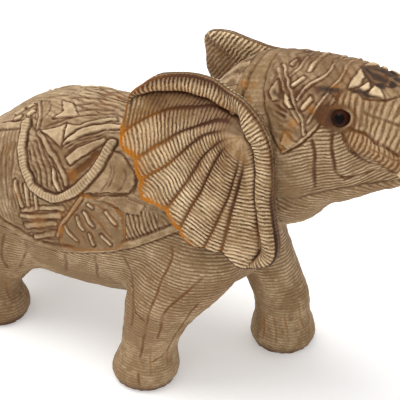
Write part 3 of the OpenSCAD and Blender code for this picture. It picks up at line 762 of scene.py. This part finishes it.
# eye sockets: a stained almond with a raised lid round the bead
to_right = np.array([1, -1, 1])
eye_fore = np.array([0.985, 0.14, 0.0])
eye_top = np.cross(eye_look * to_right, eye_fore)
eye_top = eye_top / np.linalg.norm(eye_top)
rel = folded - eye_place * to_right
ex, ez, ed = rel @ eye_fore, rel @ eye_top, rel @ (eye_look * to_right)
facing = np.abs(ed) < 10
almond = np.hypot(ex / np.where(ex < 0, 1.6, 1.1), ez)
bead_gap = np.hypot(ex, ez)
lid = np.exp(-((almond - 5.6) / 0.9) ** 2) * facing * soft(-9, -3, ex)
lift = lift * (1 - soft(8.5, 6.5, almond) * facing) + lid * 1.1
lift -= 0.7 * soft(5.0, 3.5, bead_gap) * facing
stain_and_shade = stain_and_shade + 1.2 * soft(10.0, 5.0, almond) * facing * (1 - 0.8 * lid * soft(-1, 3, ex))
lime_and_light = lime_and_light + 0.4 * lid * soft(0, 4, ex)
burnt = np.maximum(burnt, 1.1 * soft(6.0, 4.6, bead_gap) * facing)
burnt = np.maximum(burnt, 0.5 * soft(7.5, 3.5, almond) * soft(2, -2, ex) * facing)
cut = cut * (1 - soft(8.5, 6.5, almond) * facing)
corner = np.hypot((ex + 10) / 2.0, ez + 1.0)
stain_and_shade += 0.8 * soft(6, 1, corner) * facing

# mouth: a dark line between trunk and jaw
groove("face", [(96, -34), (104, -40), (112, -48), (122, -60)], 1.3, 1.4, 1.2, 0, 0.8)

# the cuts fade over the crest, their hollows hold stain, and the wood is left a little uneven
lift *= 1 - 0.75 * soft(70, 88, face_a) * is_face
lime_and_light = np.where(is_cloth | under_veil, lime_and_light, lime_and_light - 0.06) * (1 - 0.6 * soft(74, 88, face_a) * is_face)
hollow = relaxed(lift[:, None] + np.zeros((1, 3)), edges, 4, 0.6)[:, 0] - lift
stain_and_shade = stain_and_shade + np.clip(hollow * 0.8, 0, 0.4)
lime_and_light = lime_and_light + np.clip(-hollow * 1.2, 0, 0.4) * (1 - 0.8 * soft(9, 6, almond) * facing)
wobble = np.random.default_rng(8).normal(0, 1, (len(co), 3))
wobble = relaxed(wobble, edges, 10, 0.8)
# painted light: the far legs, and every leg near its foot, are made paler where they stand in shade
lime_and_light += 0.12 * ((slide != 0) & (y > 0) & (z < 95)) + 0.10 * soft(45, 25, z)
# painted shade: the lower flank below the middle of the barrel is darkened, as under the belly
stain_and_shade += 0.16 * (soft(60, 110, z) * soft(-8, -30, around) * ~is_face)
lift += 0.9 * wobble[:, 0]
lift *= soft(-0.2, 1.5, z)
carved = co + across * lift[:, None]
carved[:, 2] = carved[:, 2].clip(0, None)
write(block, carved)
stain_and_shade += 0.28 * is_cloth * (0.5 + 0.5 * wobble[:, 1] * 3)
# the wash mark carries the real brown wash and painted shade; the pale mark carries the lime and painted
# light
marked(block, {"hatch": hatch, "cut": cut.clip(0, 1), "wash": stain_and_shade.clip(0, 1.3), "ochre": gold.clip(0, 1.2),
               "dark": burnt.clip(0, 1.4), "pale": lime_and_light.clip(-1, 1)})

def smooth(o):
    for p in o.data.polygons:
        p.use_smooth = True

smooth(block)
block.data.materials.append(body_wood)

# saw the block apart again at the glue line
half_glue = 0.075 * mm

def sawn(name, keep_front):
    m = bmesh.new()
    m.from_mesh(block.data)
    way = Vector(neck_way) * (1 if keep_front else -1)
    at = Vector(neck_point * mm) + way * half_glue
    bmesh.ops.bisect_plane(m, geom=m.verts[:] + m.edges[:] + m.faces[:], plane_co=at, plane_no=way,
                           clear_inner=True, clear_outer=False, dist=1e-7)
    bmesh.ops.holes_fill(m, edges=[g for g in m.edges if g.is_boundary], sides=0)
    data = bpy.data.meshes.new(name)
    m.to_mesh(data)
    m.free()
    o = bpy.data.objects.new(name, data)
    bpy.context.scene.collection.objects.link(o)
    data.materials.clear()
    data.materials.append(body_wood)
    return o

for name, node, front, slot in (("body_carved", "torso", False, "carved_body"),
                                ("head_carved", "head", True, "carved_head")):
    o = sawn(name, front)
    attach(o, "root")
    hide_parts(node)
bpy.data.objects.remove(block)

# ---------------------------------------------------------------- the ears
# Two fans of the same wood, carved apart as shallow shells and let into the head on a round
# boss. Flutes spread from the root, a rolled rim runs over the top and down the front, and
# close cross cuts cover both. The lower edge is tinted ochre and scorched at its front corner.
ear_root = np.array([97.0, 41.5, 186.0])
ear_wall = 4.5
ear_rim = 3.6
ear_bowl = 7.0
ear_cut_gap = 2.15
ear_cut_deep = 0.16
# The outline: (degrees round from straight back, reach from the root, distance from the middle).
ear_edge = [(-12, 73, 50), (-3, 70, 46), (6, 69, 42), (11, 65, 37), (15, 61, 32), (23, 49, 27),
            (35, 34, 26), (53, 22, 31), (97, 15, 37), (141, 13, 39), (179, 16, 41), (212, 22, 42),
            (235, 34, 43), (243, 48, 44), (246, 61, 45), (249, 69, 46), (254, 74, 46), (261, 76, 47),
            (268, 78, 47.5), (276, 73, 48), (284, 75, 49), (290, 77, 49), (298, 75, 49), (306, 70, 50),
            (313, 72, 50), (319, 77, 50), (327, 71, 51), (337, 68, 51), (342, 72, 51)]
# Each groove between two flutes: (share of the way out, degrees above straight back).
ear_grooves = [
    [(0.15, 75), (0.25, 50), (0.4, 33), (0.6, 25), (0.8, 20), (0.9, 16), (1.0, 7)],
    [(0.15, 28), (0.36, 18), (0.5, 7), (0.7, 1), (0.83, -4), (1.0, -12)],
    [(0.15, 14), (0.24, 8), (0.34, -2), (0.44, -9), (0.67, -18), (0.88, -22), (1.0, -24)],
    [(0.15, -3), (0.24, -11), (0.49, -23), (0.62, -29), (0.75, -33), (1.0, -34)],
    [(0.17, -26), (0.38, -37), (0.52, -44), (0.68, -48), (0.82, -50), (1.0, -52)],
    [(0.19, -42), (0.34, -49), (0.49, -55), (0.63, -59), (0.79, -60), (1.0, -62)],
    [(0.15, -84), (0.24, -83), (0.37, -81), (0.52, -80), (0.64, -78), (1.0, -75)],
    [(0.15, -96), (0.34, -88), (0.46, -86), (0.62, -84), (1.0, -83)],
    [(0.15, -150), (0.38, -134), (0.46, -116), (0.51, -107), (0.63, -103), (1.0, -101)],
]
# How wide the rolled rim is at each angle.
rim_width = [(-12, 0.5), (-2, 1), (6, 3), (11, 5.5), (18, 8), (30, 10), (60, 11.5), (100, 11),
             (180, 11.5), (230, 11), (250, 11), (256, 8), (262, 2), (272, 0.5)]

def smoothed_ring(rows, n):
    rows = np.array(rows, float)
    turn = np.array([360.0, 0, 0])
    r = np.vstack([rows[-1] - turn, rows, rows[0] + turn, rows[1] + turn])
    t = np.linspace(0, 1, n, endpoint=False)[None, :, None]
    return eased(*(r[k:k + len(rows), None, :] for k in range(4)), t).reshape(-1, 3)

def carved_ear(node, side, seed):
    rng = np.random.default_rng(seed)
    # the left ear stands a little fuller over its back corner
    fuller = [math.exp(-((a - 25) / 13) ** 2) * (side > 0) for a, r, d in ear_edge]
    loop = smoothed_ring([(a + 3.8 * f, r + 1.3 * f, d) for (a, r, d), f in zip(ear_edge, fuller)], 40)
    flat = np.stack([-np.cos(np.radians(loop[:, 0])) * loop[:, 1],
                     np.sin(np.radians(loop[:, 0])) * loop[:, 1]], 1)
    step = np.linalg.norm(np.diff(np.vstack([flat, flat[:1]]), axis=0), axis=1)
    run = np.concatenate([[0], np.cumsum(step)])
    spokes, front_rows, back_rows = 600, 132, 40
    want = np.arange(spokes) * run[-1] / spokes
    full = np.vstack([loop, loop[0] + [360, 0, 0]])
    angle, reach, away = (np.interp(want, run, full[:, k]) for k in range(3))
    reach = reach + rng.normal(0, 0.12, spokes)
    edge = np.stack([-np.cos(np.radians(angle)) * reach, np.sin(np.radians(angle)) * reach], 1)

    def lay(s):
        s = s[:, None]
        flat_x, flat_z = edge[:, 0] * s, edge[:, 1] * s
        hollow = ear_bowl * (0.25 + 0.75 * (1 - soft(40, 80, angle) + soft(285, 335, angle)))
        y = ear_root[1] + (away - ear_root[1]) * s - hollow * 4 * s * (1 - s)
        return flat_x, flat_z, y

    last_rows = [0.99, 0.994, 0.997, 0.999, 1.0, 1.0]
    s_front = np.concatenate([np.linspace(0.05, 0.985, front_rows - len(last_rows)), last_rows])
    fx, fz, fy = lay(s_front)
    pts = np.stack([fx.ravel(), fz.ravel()], 1)
    # true distance to the edge, and how far along the edge that nearest point is
    dist = np.full(len(pts), 1e9)
    along = np.zeros(len(pts))
    width = np.zeros(len(pts))
    rim_w = np.interp(angle, [a for a, _ in rim_width], [w for _, w in rim_width])
    rim_w[angle > 272] = 0.3
    ring = np.vstack([edge, edge[:1]])
    inward = np.roll(edge, -4, 0) - np.roll(edge, 4, 0)
    inward = np.stack([inward[:, 1], -inward[:, 0]], 1) / np.linalg.norm(inward, axis=1)[:, None]
    inward *= np.sign((inward * -edge).sum(1))[:, None]
    mid_rim = edge + inward * rim_w[:, None] * 0.5
    mid_step = np.linalg.norm(np.diff(np.vstack([mid_rim, mid_rim[:1]]), axis=0), axis=1)
    mid_run = np.concatenate([[0], np.cumsum(mid_step)])
    for k in range(0, spokes, 2):
        a, b = ring[k], ring[min(k + 2, spokes)]
        ab = b - a
        t = np.clip(((pts - a) @ ab) / (ab @ ab), 0, 1)
        d = np.linalg.norm(pts - a - t[:, None] * ab, axis=1)
        closer = d < dist
        dist[closer] = d[closer]
        along[closer] = mid_run[k] + t[closer] * (mid_run[min(k + 2, spokes)] - mid_run[k])
        width[closer] = rim_w[k]
    shape = fx.shape
    dist, along, width = (v.reshape(shape) for v in (dist, along, width))
    reel = np.hanning(25) / np.hanning(25).sum()
    tail_on = lambda v: np.hstack([v[:, -12:], v, v[:, :12]])
    width = np.stack([np.convolve(r, reel, "valid") for r in tail_on(width)])
    steady = np.stack([np.convolve(r, reel, "valid") for r in tail_on(along)])
    along[:, 20:-20] = steady[:, 20:-20]
    deg = np.where(angle > 200, angle - 360, angle)[None, :] + np.zeros(shape)
    s = s_front[:, None] + np.zeros(shape)
    lines = [np.interp(s, [p[0] for p in g], [p[1] for p in g]) for g in ear_grooves]
    rho = np.hypot(fx, fz)
    # which flute, and how far across it
    u = np.zeros(shape)
    wide = np.full(shape, 20.0)
    index = np.zeros(shape)
    for k in range(len(lines) - 1):
        top, low = lines[k], lines[k + 1]
        here = (deg <= top) & (deg > low)
        u = np.where(here, (top - deg) / np.maximum(top - low, 1e-3), u)
        index = np.where(here, k, index)
        wide = np.where(here, np.radians(top - low) * rho, wide)
    in_fan = (deg <= lines[0]) & (deg > lines[-1])
    rib = np.abs(np.sin(np.pi * u)) ** 0.6
    swell = np.clip(wide * 0.13, 0, 1.9) * soft(0.12, 0.4, s)
    swell *= np.where(index == 0, 0.45, 1.0)
    rim_t = (dist - width / 2) / np.maximum(width / 2, 0.4)
    on_rim = soft(1.06, 0.94, rim_t) * soft(1.0, 3.0, width)
    roll = ear_rim * np.sqrt(np.clip(1 - rim_t ** 2, 0, 1)) * soft(1.0, 6.0, width)
    relief = np.where(in_fan, (rib - 0.75) * swell, -0.6) * (1 - on_rim) * soft(0.1, 0.3, s)
    groove_gap = np.minimum(u, 1 - u) * wide
    cut_line = np.where(in_fan, np.exp(-(groove_gap / 0.9) ** 2), 0) * soft(0.15, 0.3, s) * (1 - on_rim)
    relief -= 0.55 * cut_line
    hollow = np.exp(-((dist - width) / 9.0) ** 2) * (1 - on_rim) * soft(-14, 6, deg) * soft(3, 7, width)
    relief -= 2.4 * hollow
    rim_line = np.exp(-((dist - width - 0.3) / 1.0) ** 2) * soft(2.0, 5.0, width)
    relief -= 0.9 * rim_line
    # cross cuts, bowed in each flute, square to the edge on the rim
    jitter = np.array([rng.normal(0, 0.35) for _ in range(12)])
    bow = (1 - (2 * u - 1) ** 2) * np.clip(wide * 0.10, 0, 1.8)
    ring_phase = (rho + bow) / ear_cut_gap + jitter[index.astype(int)]
    rim_phase = along / ear_cut_gap
    phase = np.where(on_rim > 0.5, rim_phase, ring_phase)
    calm = soft(0.1, 0.28, s) * (1 - 0.85 * cut_line) * (1 - 0.9 * rim_line)
    cut = np.where(on_rim > 0.5, 0.85, np.where(in_fan, 0.95, 0.3)) * calm
    cut *= np.where(dist < 0.7, 0.35, 1.0)
    cut = np.where((index == 0) & in_fan & (on_rim < 0.5), cut * 0.75, cut)
    uneven = 0.5 + 0.5 * np.sin(rho / 5.3 + index * 2.1 + 1.7 * np.sin(rho / 2.9 + index))
    cut = np.where(in_fan & (on_rim < 0.5), cut * (1 - 0.30 * rib * uneven), cut)
    relief += ear_cut_deep * np.sin(2 * np.pi * phase) * cut
    # the edge is turned over in the last few rows
    turn_over = np.array([0, 0.15, 0.4, 0.75, 1.2, 1.8])
    y = fy + roll + relief
    y[-len(turn_over):] -= turn_over[:, None]
    wash = np.clip(cut_line * 1.1 + rim_line * 1.3, 0, 1.2)
    # painted shade: the bowl under the rolled rim is darkened through the wash mark, and the wash also
    # deepens towards the root
    shade = soft(26, 2, dist - width) * soft(-22, 0, deg) * (1 - on_rim) * soft(2, 6, width)
    shade *= soft(1.0, 0.8, s)
    wash += 0.62 * shade + 0.25 * soft(0.34, 0.1, s) * (1 - on_rim)
    cut = cut * (1 - 0.5 * shade)
    wash += 0.95 * soft(1.1, 0.2, dist)
    wash += 0.8 * soft(5.5, 0.5, dist) * soft(-2, 8, deg) * soft(62, 40, deg)
    low_left = soft(-2, -14, deg) * soft(-80, -62, deg)
    ochre = low_left * soft(3.4, 0.5, dist + rng.normal(0, 0.5, shape[1])[None, :] * 0.8)
    ochre += 0.20 * low_left * soft(8, 2.5, dist)
    ochre += 0.35 * soft(24, 8, deg) * soft(-14, 2, deg) * soft(1.6, 0.6, dist)
    ochre += 0.30 * cut_line * soft(0.4, 0.8, s)
    ochre += 0.16 * soft(6, -8, deg) * soft(-50, -30, deg) * soft(0.5, 0.8, s) * (1 - on_rim)
    ochre += 0.16 * on_rim + 0.12 * in_fan
    dark = soft(-60, -72, deg) * soft(-134, -112, deg) * soft(1.7, 0.5, dist) * soft(0.8, 0.92, s)
    dark += 0.45 * np.exp(-((deg + 101) / 3.5) ** 2) * soft(0.75, 0.95, s)
    dark[-4:] *= 0.35
    wash[-3:] = 0.30 + 0.35 * soft(-60, -72, deg[-3:])
    pale = 0.25 * (rib - 0.4) * in_fan * (index > 0) + 0.18 * on_rim * soft(0.9, 0.3, np.abs(rim_t))
    pale += 0.25 * soft(0.55, 0.95, s) * in_fan * (index > 0)

    s_back = np.linspace(1.0, 0.05, back_rows)
    bx, bz, by = lay(s_back)
    lip = ear_wall * (1.15 - 0.35 * s_back[:, None] ** 2)
    by = by - lip
    by[0] += 0.8
    sb = s_back[:, None] + np.zeros(bx.shape)
    back_deg = np.where(angle > 200, angle - 360, angle)[None, :] + np.zeros(bx.shape)
    back_ribs = 0.35 * np.sin(np.radians(back_deg) * 16) * soft(0.2, 0.5, sb) * soft(1.0, 0.8, sb)
    fold = np.interp(bx, [-62, -49, -42, -34, -20], [17, 11, 3, -5, -14])
    above = (bz - fold) * 0.8
    in_fold = soft(-64, -57, bx) * soft(8, -10, bx) * soft(-16, -8, bz)
    band = soft(-0.5, 1.0, above) * in_fold
    crease = np.exp(-(above / 4.0) ** 2) * in_fold
    by += back_ribs * (1 - band) - 2.2 * crease
    seam = np.exp(-((above + 0.8) / 1.1) ** 2) * in_fold
    x = np.vstack([fx, bx])
    z = np.vstack([fz, bz])
    yy = np.vstack([y, by])
    world = np.stack([x + ear_root[0] - middle, side * yy, z + ear_root[2]], 2)
    rows = len(world)
    co = np.vstack([world.reshape(-1, 3),
                    [[ear_root[0] - middle, side * (y[0].mean()), ear_root[2]],
                     [ear_root[0] - middle, side * (by[-1].mean()), ear_root[2]]]])
    k = np.arange(spokes)
    quads = []
    for j in range(rows - 1):
        quads.append(np.stack([j * spokes + k, (j + 1) * spokes + k, (j + 1) * spokes + (k + 1) % spokes,
                               j * spokes + (k + 1) % spokes], 1))
    quads = np.vstack(quads)
    c0 = rows * spokes
    caps = [(c0, int(i), int((i + 1) % spokes)) for i in k]
    caps += [(c0 + 1, (rows - 1) * spokes + int((i + 1) % spokes), (rows - 1) * spokes + int(i)) for i in k]
    if side < 0:
        faces = [tuple(q) for q in quads.tolist()] + caps
    else:
        faces = [tuple(q[::-1]) for q in quads.tolist()] + [c[::-1] for c in caps]
    o = mesh_from(node + "_carved", co, faces)
    smooth(o)

    def whole(front, back=0.0):
        back = np.zeros(bx.shape) + back
        return np.concatenate([front.ravel(), back.ravel(), [front[0].mean(), back[-1].mean()]])

    back_phase = (bx * 0.77 - bz * 0.64) / 2.3
    # painted light and shade on the back: the band above the fold is paled as lit and the rest made a little
    # darker as shaded; the seam along the fold is a real ochre-brown line
    marked(o, {"hatch": whole(phase, back_phase), "cut": whole(cut, (0.5 + 0.4 * band) * soft(0.2, 0.4, sb)),
               "wash": whole(wash, 0.10 * (1 - band) + 0.5 * seam), "ochre": whole(ochre, 0.10 + 0.35 * seam),
               "dark": whole(dark), "pale": whole(pale, 0.35 * band + 0.05)})
    o.data.materials.append(ear_wood)
    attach(o, "root")
    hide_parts(node)

ear_wood = carved_wood("carved_wood_ear", rgb(232, 205, 164), rgb(142, 108, 68), rgb(70, 36, 12),
                       rgb(176, 106, 8), rgb(50, 25, 14), 0.8, 1.12)
carved_ear("ear_right", -1, 3)
carved_ear("ear_left", 1, 4)

# ---------------------------------------------------------------- the eyes
# Turned beads of dark glass, each on a short peg glued into its socket. The pupil is black and
# the rim round it deep brown, under a clear polish.
eye_across, eye_peg, eye_sink = 8.9, 5.0, 1.5
glass = bpy.data.materials.new("eye_glass")
glass.use_nodes = True
w = Wire(glass.node_tree)
ring = w.node("ShaderNodeAttribute", {"attribute_name": "ring"}, {}, "Fac")
speck = w.noise(w.node("ShaderNodeTexCoord", {}, {}, "Object"), 900.0, 2.0)
iris = w.blend((ring + speck * 0.15).ramp(0.42, 0.62), rgb(12, 6, 4), rgb(50, 22, 9))
shader = glass.node_tree.nodes["Principled BSDF"]
glass.node_tree.links.new(iris.socket, shader.inputs["Base Color"])
shader.inputs["Roughness"].default_value = 0.18
shader.inputs["Specular IOR Level"].default_value = 0.06

def stacked(rings, sides):
    f = [(0, 1 + (k + 1) % sides, 1 + k) for k in range(sides)]
    for j in range(rings - 1):
        low, high = 1 + j * sides, 1 + (j + 1) * sides
        f += [(low + k, low + (k + 1) % sides, high + (k + 1) % sides, high + k) for k in range(sides)]
    last, base = 1 + rings * sides, 1 + (rings - 1) * sides
    return f + [(last, base + k, base + (k + 1) % sides) for k in range(sides)]

def turned(start, way, profile, sides=48):
    way = np.array(way, float) / np.linalg.norm(way)
    u = np.cross(way, [0.2, 0.1, 0.95])
    u /= np.linalg.norm(u)
    v = np.cross(way, u)
    t = np.arange(sides) * 2 * np.pi / sides
    circle = np.outer(np.cos(t), u) + np.outer(np.sin(t), v)
    co = [np.array(start) + way * profile[0][1]]
    for r, h in profile[1:-1]:
        co.extend(np.array(start) + way * h + circle * r)
    co.append(np.array(start) + way * profile[-1][1])
    return np.array(co), stacked(len(profile) - 2, sides)

for side, node in ((-1, "eye_right"), (1, "eye_left")):
    look = eye_look * np.array([1, side, 1])
    spot = eye_place * np.array([1, side, 1])
    r = eye_across / 2
    start = math.asin(eye_peg / 2 / r)
    profile = [(0, -8.5), (2.3, -8.5), (2.5, -8.2), (2.5, -eye_sink - r * math.cos(start))]
    for a in np.linspace(math.pi - start, 0.06, 34):
        profile.append((r * math.sin(a), -eye_sink + r * math.cos(a)))
    profile.append((0, -eye_sink + r))
    co, f = turned(spot, look, profile)
    o = mesh_from(node + "_bead", co, f)
    smooth(o)
    rel = co - (spot - look / np.linalg.norm(look) * eye_sink)
    lean = rel @ look / np.linalg.norm(rel, axis=1).clip(1e-6) / np.linalg.norm(look)
    tilt = np.degrees(np.arccos(np.clip(lean, -1, 1)))
    layer = o.data.attributes.new("ring", "FLOAT", "POINT")
    layer.data.foreach_set("value", np.clip(tilt / 90, 0, 1).astype(np.float32))
    o.data.materials.append(glass)
    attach(o, "root")
    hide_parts(node)

# ---------------------------------------------------------------- the tusks
# Two short curved tusks of plain pale wood, rubbed smooth and oiled, each with a round peg
# glued into the fold beside the mouth.
tusk_wood = carved_wood("tusk_wood", rgb(238, 222, 190), rgb(196, 168, 126), rgb(112, 74, 36),
                        rgb(170, 112, 40), rgb(40, 24, 14), 0.10)
tusk_sides = 36
# The first four rows are the peg and the step up from it. A row is (ahead, across, height, radius).
tusk_line = [(167.3, -23.3, 188.8, 3.0), (172, -23.3, 186.3, 3.0), (176.6, -23.3, 183.8, 3.0),
             (177.0, -23.3, 183.6, 4.5), (184, -23.8, 180, 4.4), (196, -25.3, 175.5, 4.05),
             (209, -27, 174, 3.3), (220, -28.2, 176.5, 2.35), (228, -28.6, 181, 1.25),
             (231, -28.5, 183.5, 0.35)]

def tube(rows, sides, dent):
    rows = np.array(rows, float)
    centre = rows[:, :3]
    tangent = np.gradient(centre, axis=0)
    tangent /= np.linalg.norm(tangent, axis=1)[:, None]
    u = np.cross(tangent[0], [0.1, 1.0, 0.1])
    co = [centre[0]]
    t = np.arange(sides) * 2 * np.pi / sides
    for k in range(len(rows)):
        u = u - tangent[k] * (u @ tangent[k])
        u /= np.linalg.norm(u)
        v = np.cross(tangent[k], u)
        r = rows[k, 3] + dent(k, t)
        co.extend(centre[k] + (np.cos(t) * r)[:, None] * u + (np.sin(t) * r)[:, None] * v)
    co.append(centre[-1] + tangent[-1] * rows[-1, 3] * 0.6)
    return np.array(co), stacked(len(rows), sides)

def peg_and_curve(line, gap):
    rows = np.vstack([np.array(line[:4]), flowing(line[3:], gap)[1:]])
    rows[:, 0] -= middle
    run = np.concatenate([[0], np.cumsum(np.linalg.norm(np.diff(rows[:, :3], axis=0), axis=1))])
    return rows, run

for side, node in ((-1, "tusk_right"), (1, "tusk_left")):
    rows, run = peg_and_curve(tusk_line, 1.0)
    rows[:, 1] *= -side
    co, f = tube(rows, tusk_sides, lambda k, t: 0.05 * np.sin(run[k] * 1.9) if k > 4 else 0.0)
    o = mesh_from(node + "_smooth", co, f)
    smooth(o)
    reach = np.concatenate([[0], np.repeat(run, tusk_sides), [run[-1]]])
    marked(o, {"hatch": reach / 3.3, "cut": 0.12, "wash": 0.55 * soft(16, 11, reach), "pale": 0.25})
    o.data.materials.append(tusk_wood)
    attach(o, "root")
    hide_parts(node)

# ---------------------------------------------------------------- the tail
# A thin hanging tail of the body's wood with ring cuts, ending in a tuft cut into long hairs.
# A round tenon at its root is glued into the rump.
tail_sides = 72
locks = 13
tail_line = [(-107.8, 0, 102.9, 3.0), (-113, 0, 105.0, 3.0), (-117.6, 0, 106.9, 3.0),
             (-118.2, 0, 107.0, 4.4), (-122, 0, 106.2, 4.4), (-127, 0, 100, 4.15), (-129, 0, 88, 3.7),
             (-129, 0, 74, 3.35), (-128.5, 0, 62, 3.4), (-128, 0, 53, 4.7), (-127.5, 0, 44, 3.8),
             (-127, 0, 38.4, 1.2)]
rows, run = peg_and_curve(tail_line, 0.8)
tuft = soft(64, 56, rows[:, 2])

def hairs(k, t):
    lock = 0.28 * np.sin(locks * t + 0.4 * np.sin(run[k] / 3)) - 0.1
    return tuft[k] * lock + (1 - tuft[k]) * 0.12 * np.sin(run[k] * 2.6) * (k > 4)

co, f = tube(rows, tail_sides, hairs)
tail_piece = mesh_from("tail_carved", co, f)
smooth(tail_piece)
reach = np.concatenate([[0], np.repeat(run, tail_sides), [run[-1]]])
hair = np.concatenate([[0], np.repeat(tuft, tail_sides), [1]])
turn = np.concatenate([[0], np.tile(np.arange(tail_sides) * 2 * np.pi / tail_sides, len(rows)), [0]])
marked(tail_piece, {"hatch": reach / 2.4, "cut": 0.7 * (1 - hair),
                    "wash": hair * (0.5 - 0.5 * np.sin(locks * turn)) * 0.9 + 0.15,
                    "pale": hair * 0.2, "ochre": 0.2 * hair})
tail_piece.data.materials.append(body_wood)
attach(tail_piece, "root")
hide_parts("tail")

# ---------------------------------------------------------------- the dowels
# Plain beech dowels hidden in the glue joints: two across the neck and two behind each ear,
# cut from straight rod and left unstained.
beech = bpy.data.materials.new("beech_dowel")
beech.use_nodes = True
w = Wire(beech.node_tree)
place = w.node("ShaderNodeTexCoord", {}, {}, "Object")
along_rod = w.node("ShaderNodeMapping", {}, {"Vector": place, "Scale": (0.12, 1.0, 0.5)})
fibre = w.noise(along_rod, 900.0, 3.0, 0.6)
tone = w.blend(fibre.ramp(0.3, 0.7), rgb(176, 136, 88), rgb(214, 180, 132))
bump = w.node("ShaderNodeBump", {}, {"Strength": 0.4, "Distance": 0.0003, "Height": fibre}, "Normal")
shader = beech.node_tree.nodes["Principled BSDF"]
beech.node_tree.links.new(tone.socket, shader.inputs["Base Color"])
beech.node_tree.links.new(bump.socket, shader.inputs["Normal"])
shader.inputs["Roughness"].default_value = 0.6
for node in ("neck_dowel_upper", "neck_dowel_lower", "ear_dowels_right", "ear_dowels_left"):
    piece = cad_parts[node]
    piece.data.materials.clear()
    piece.data.materials.append(beech)
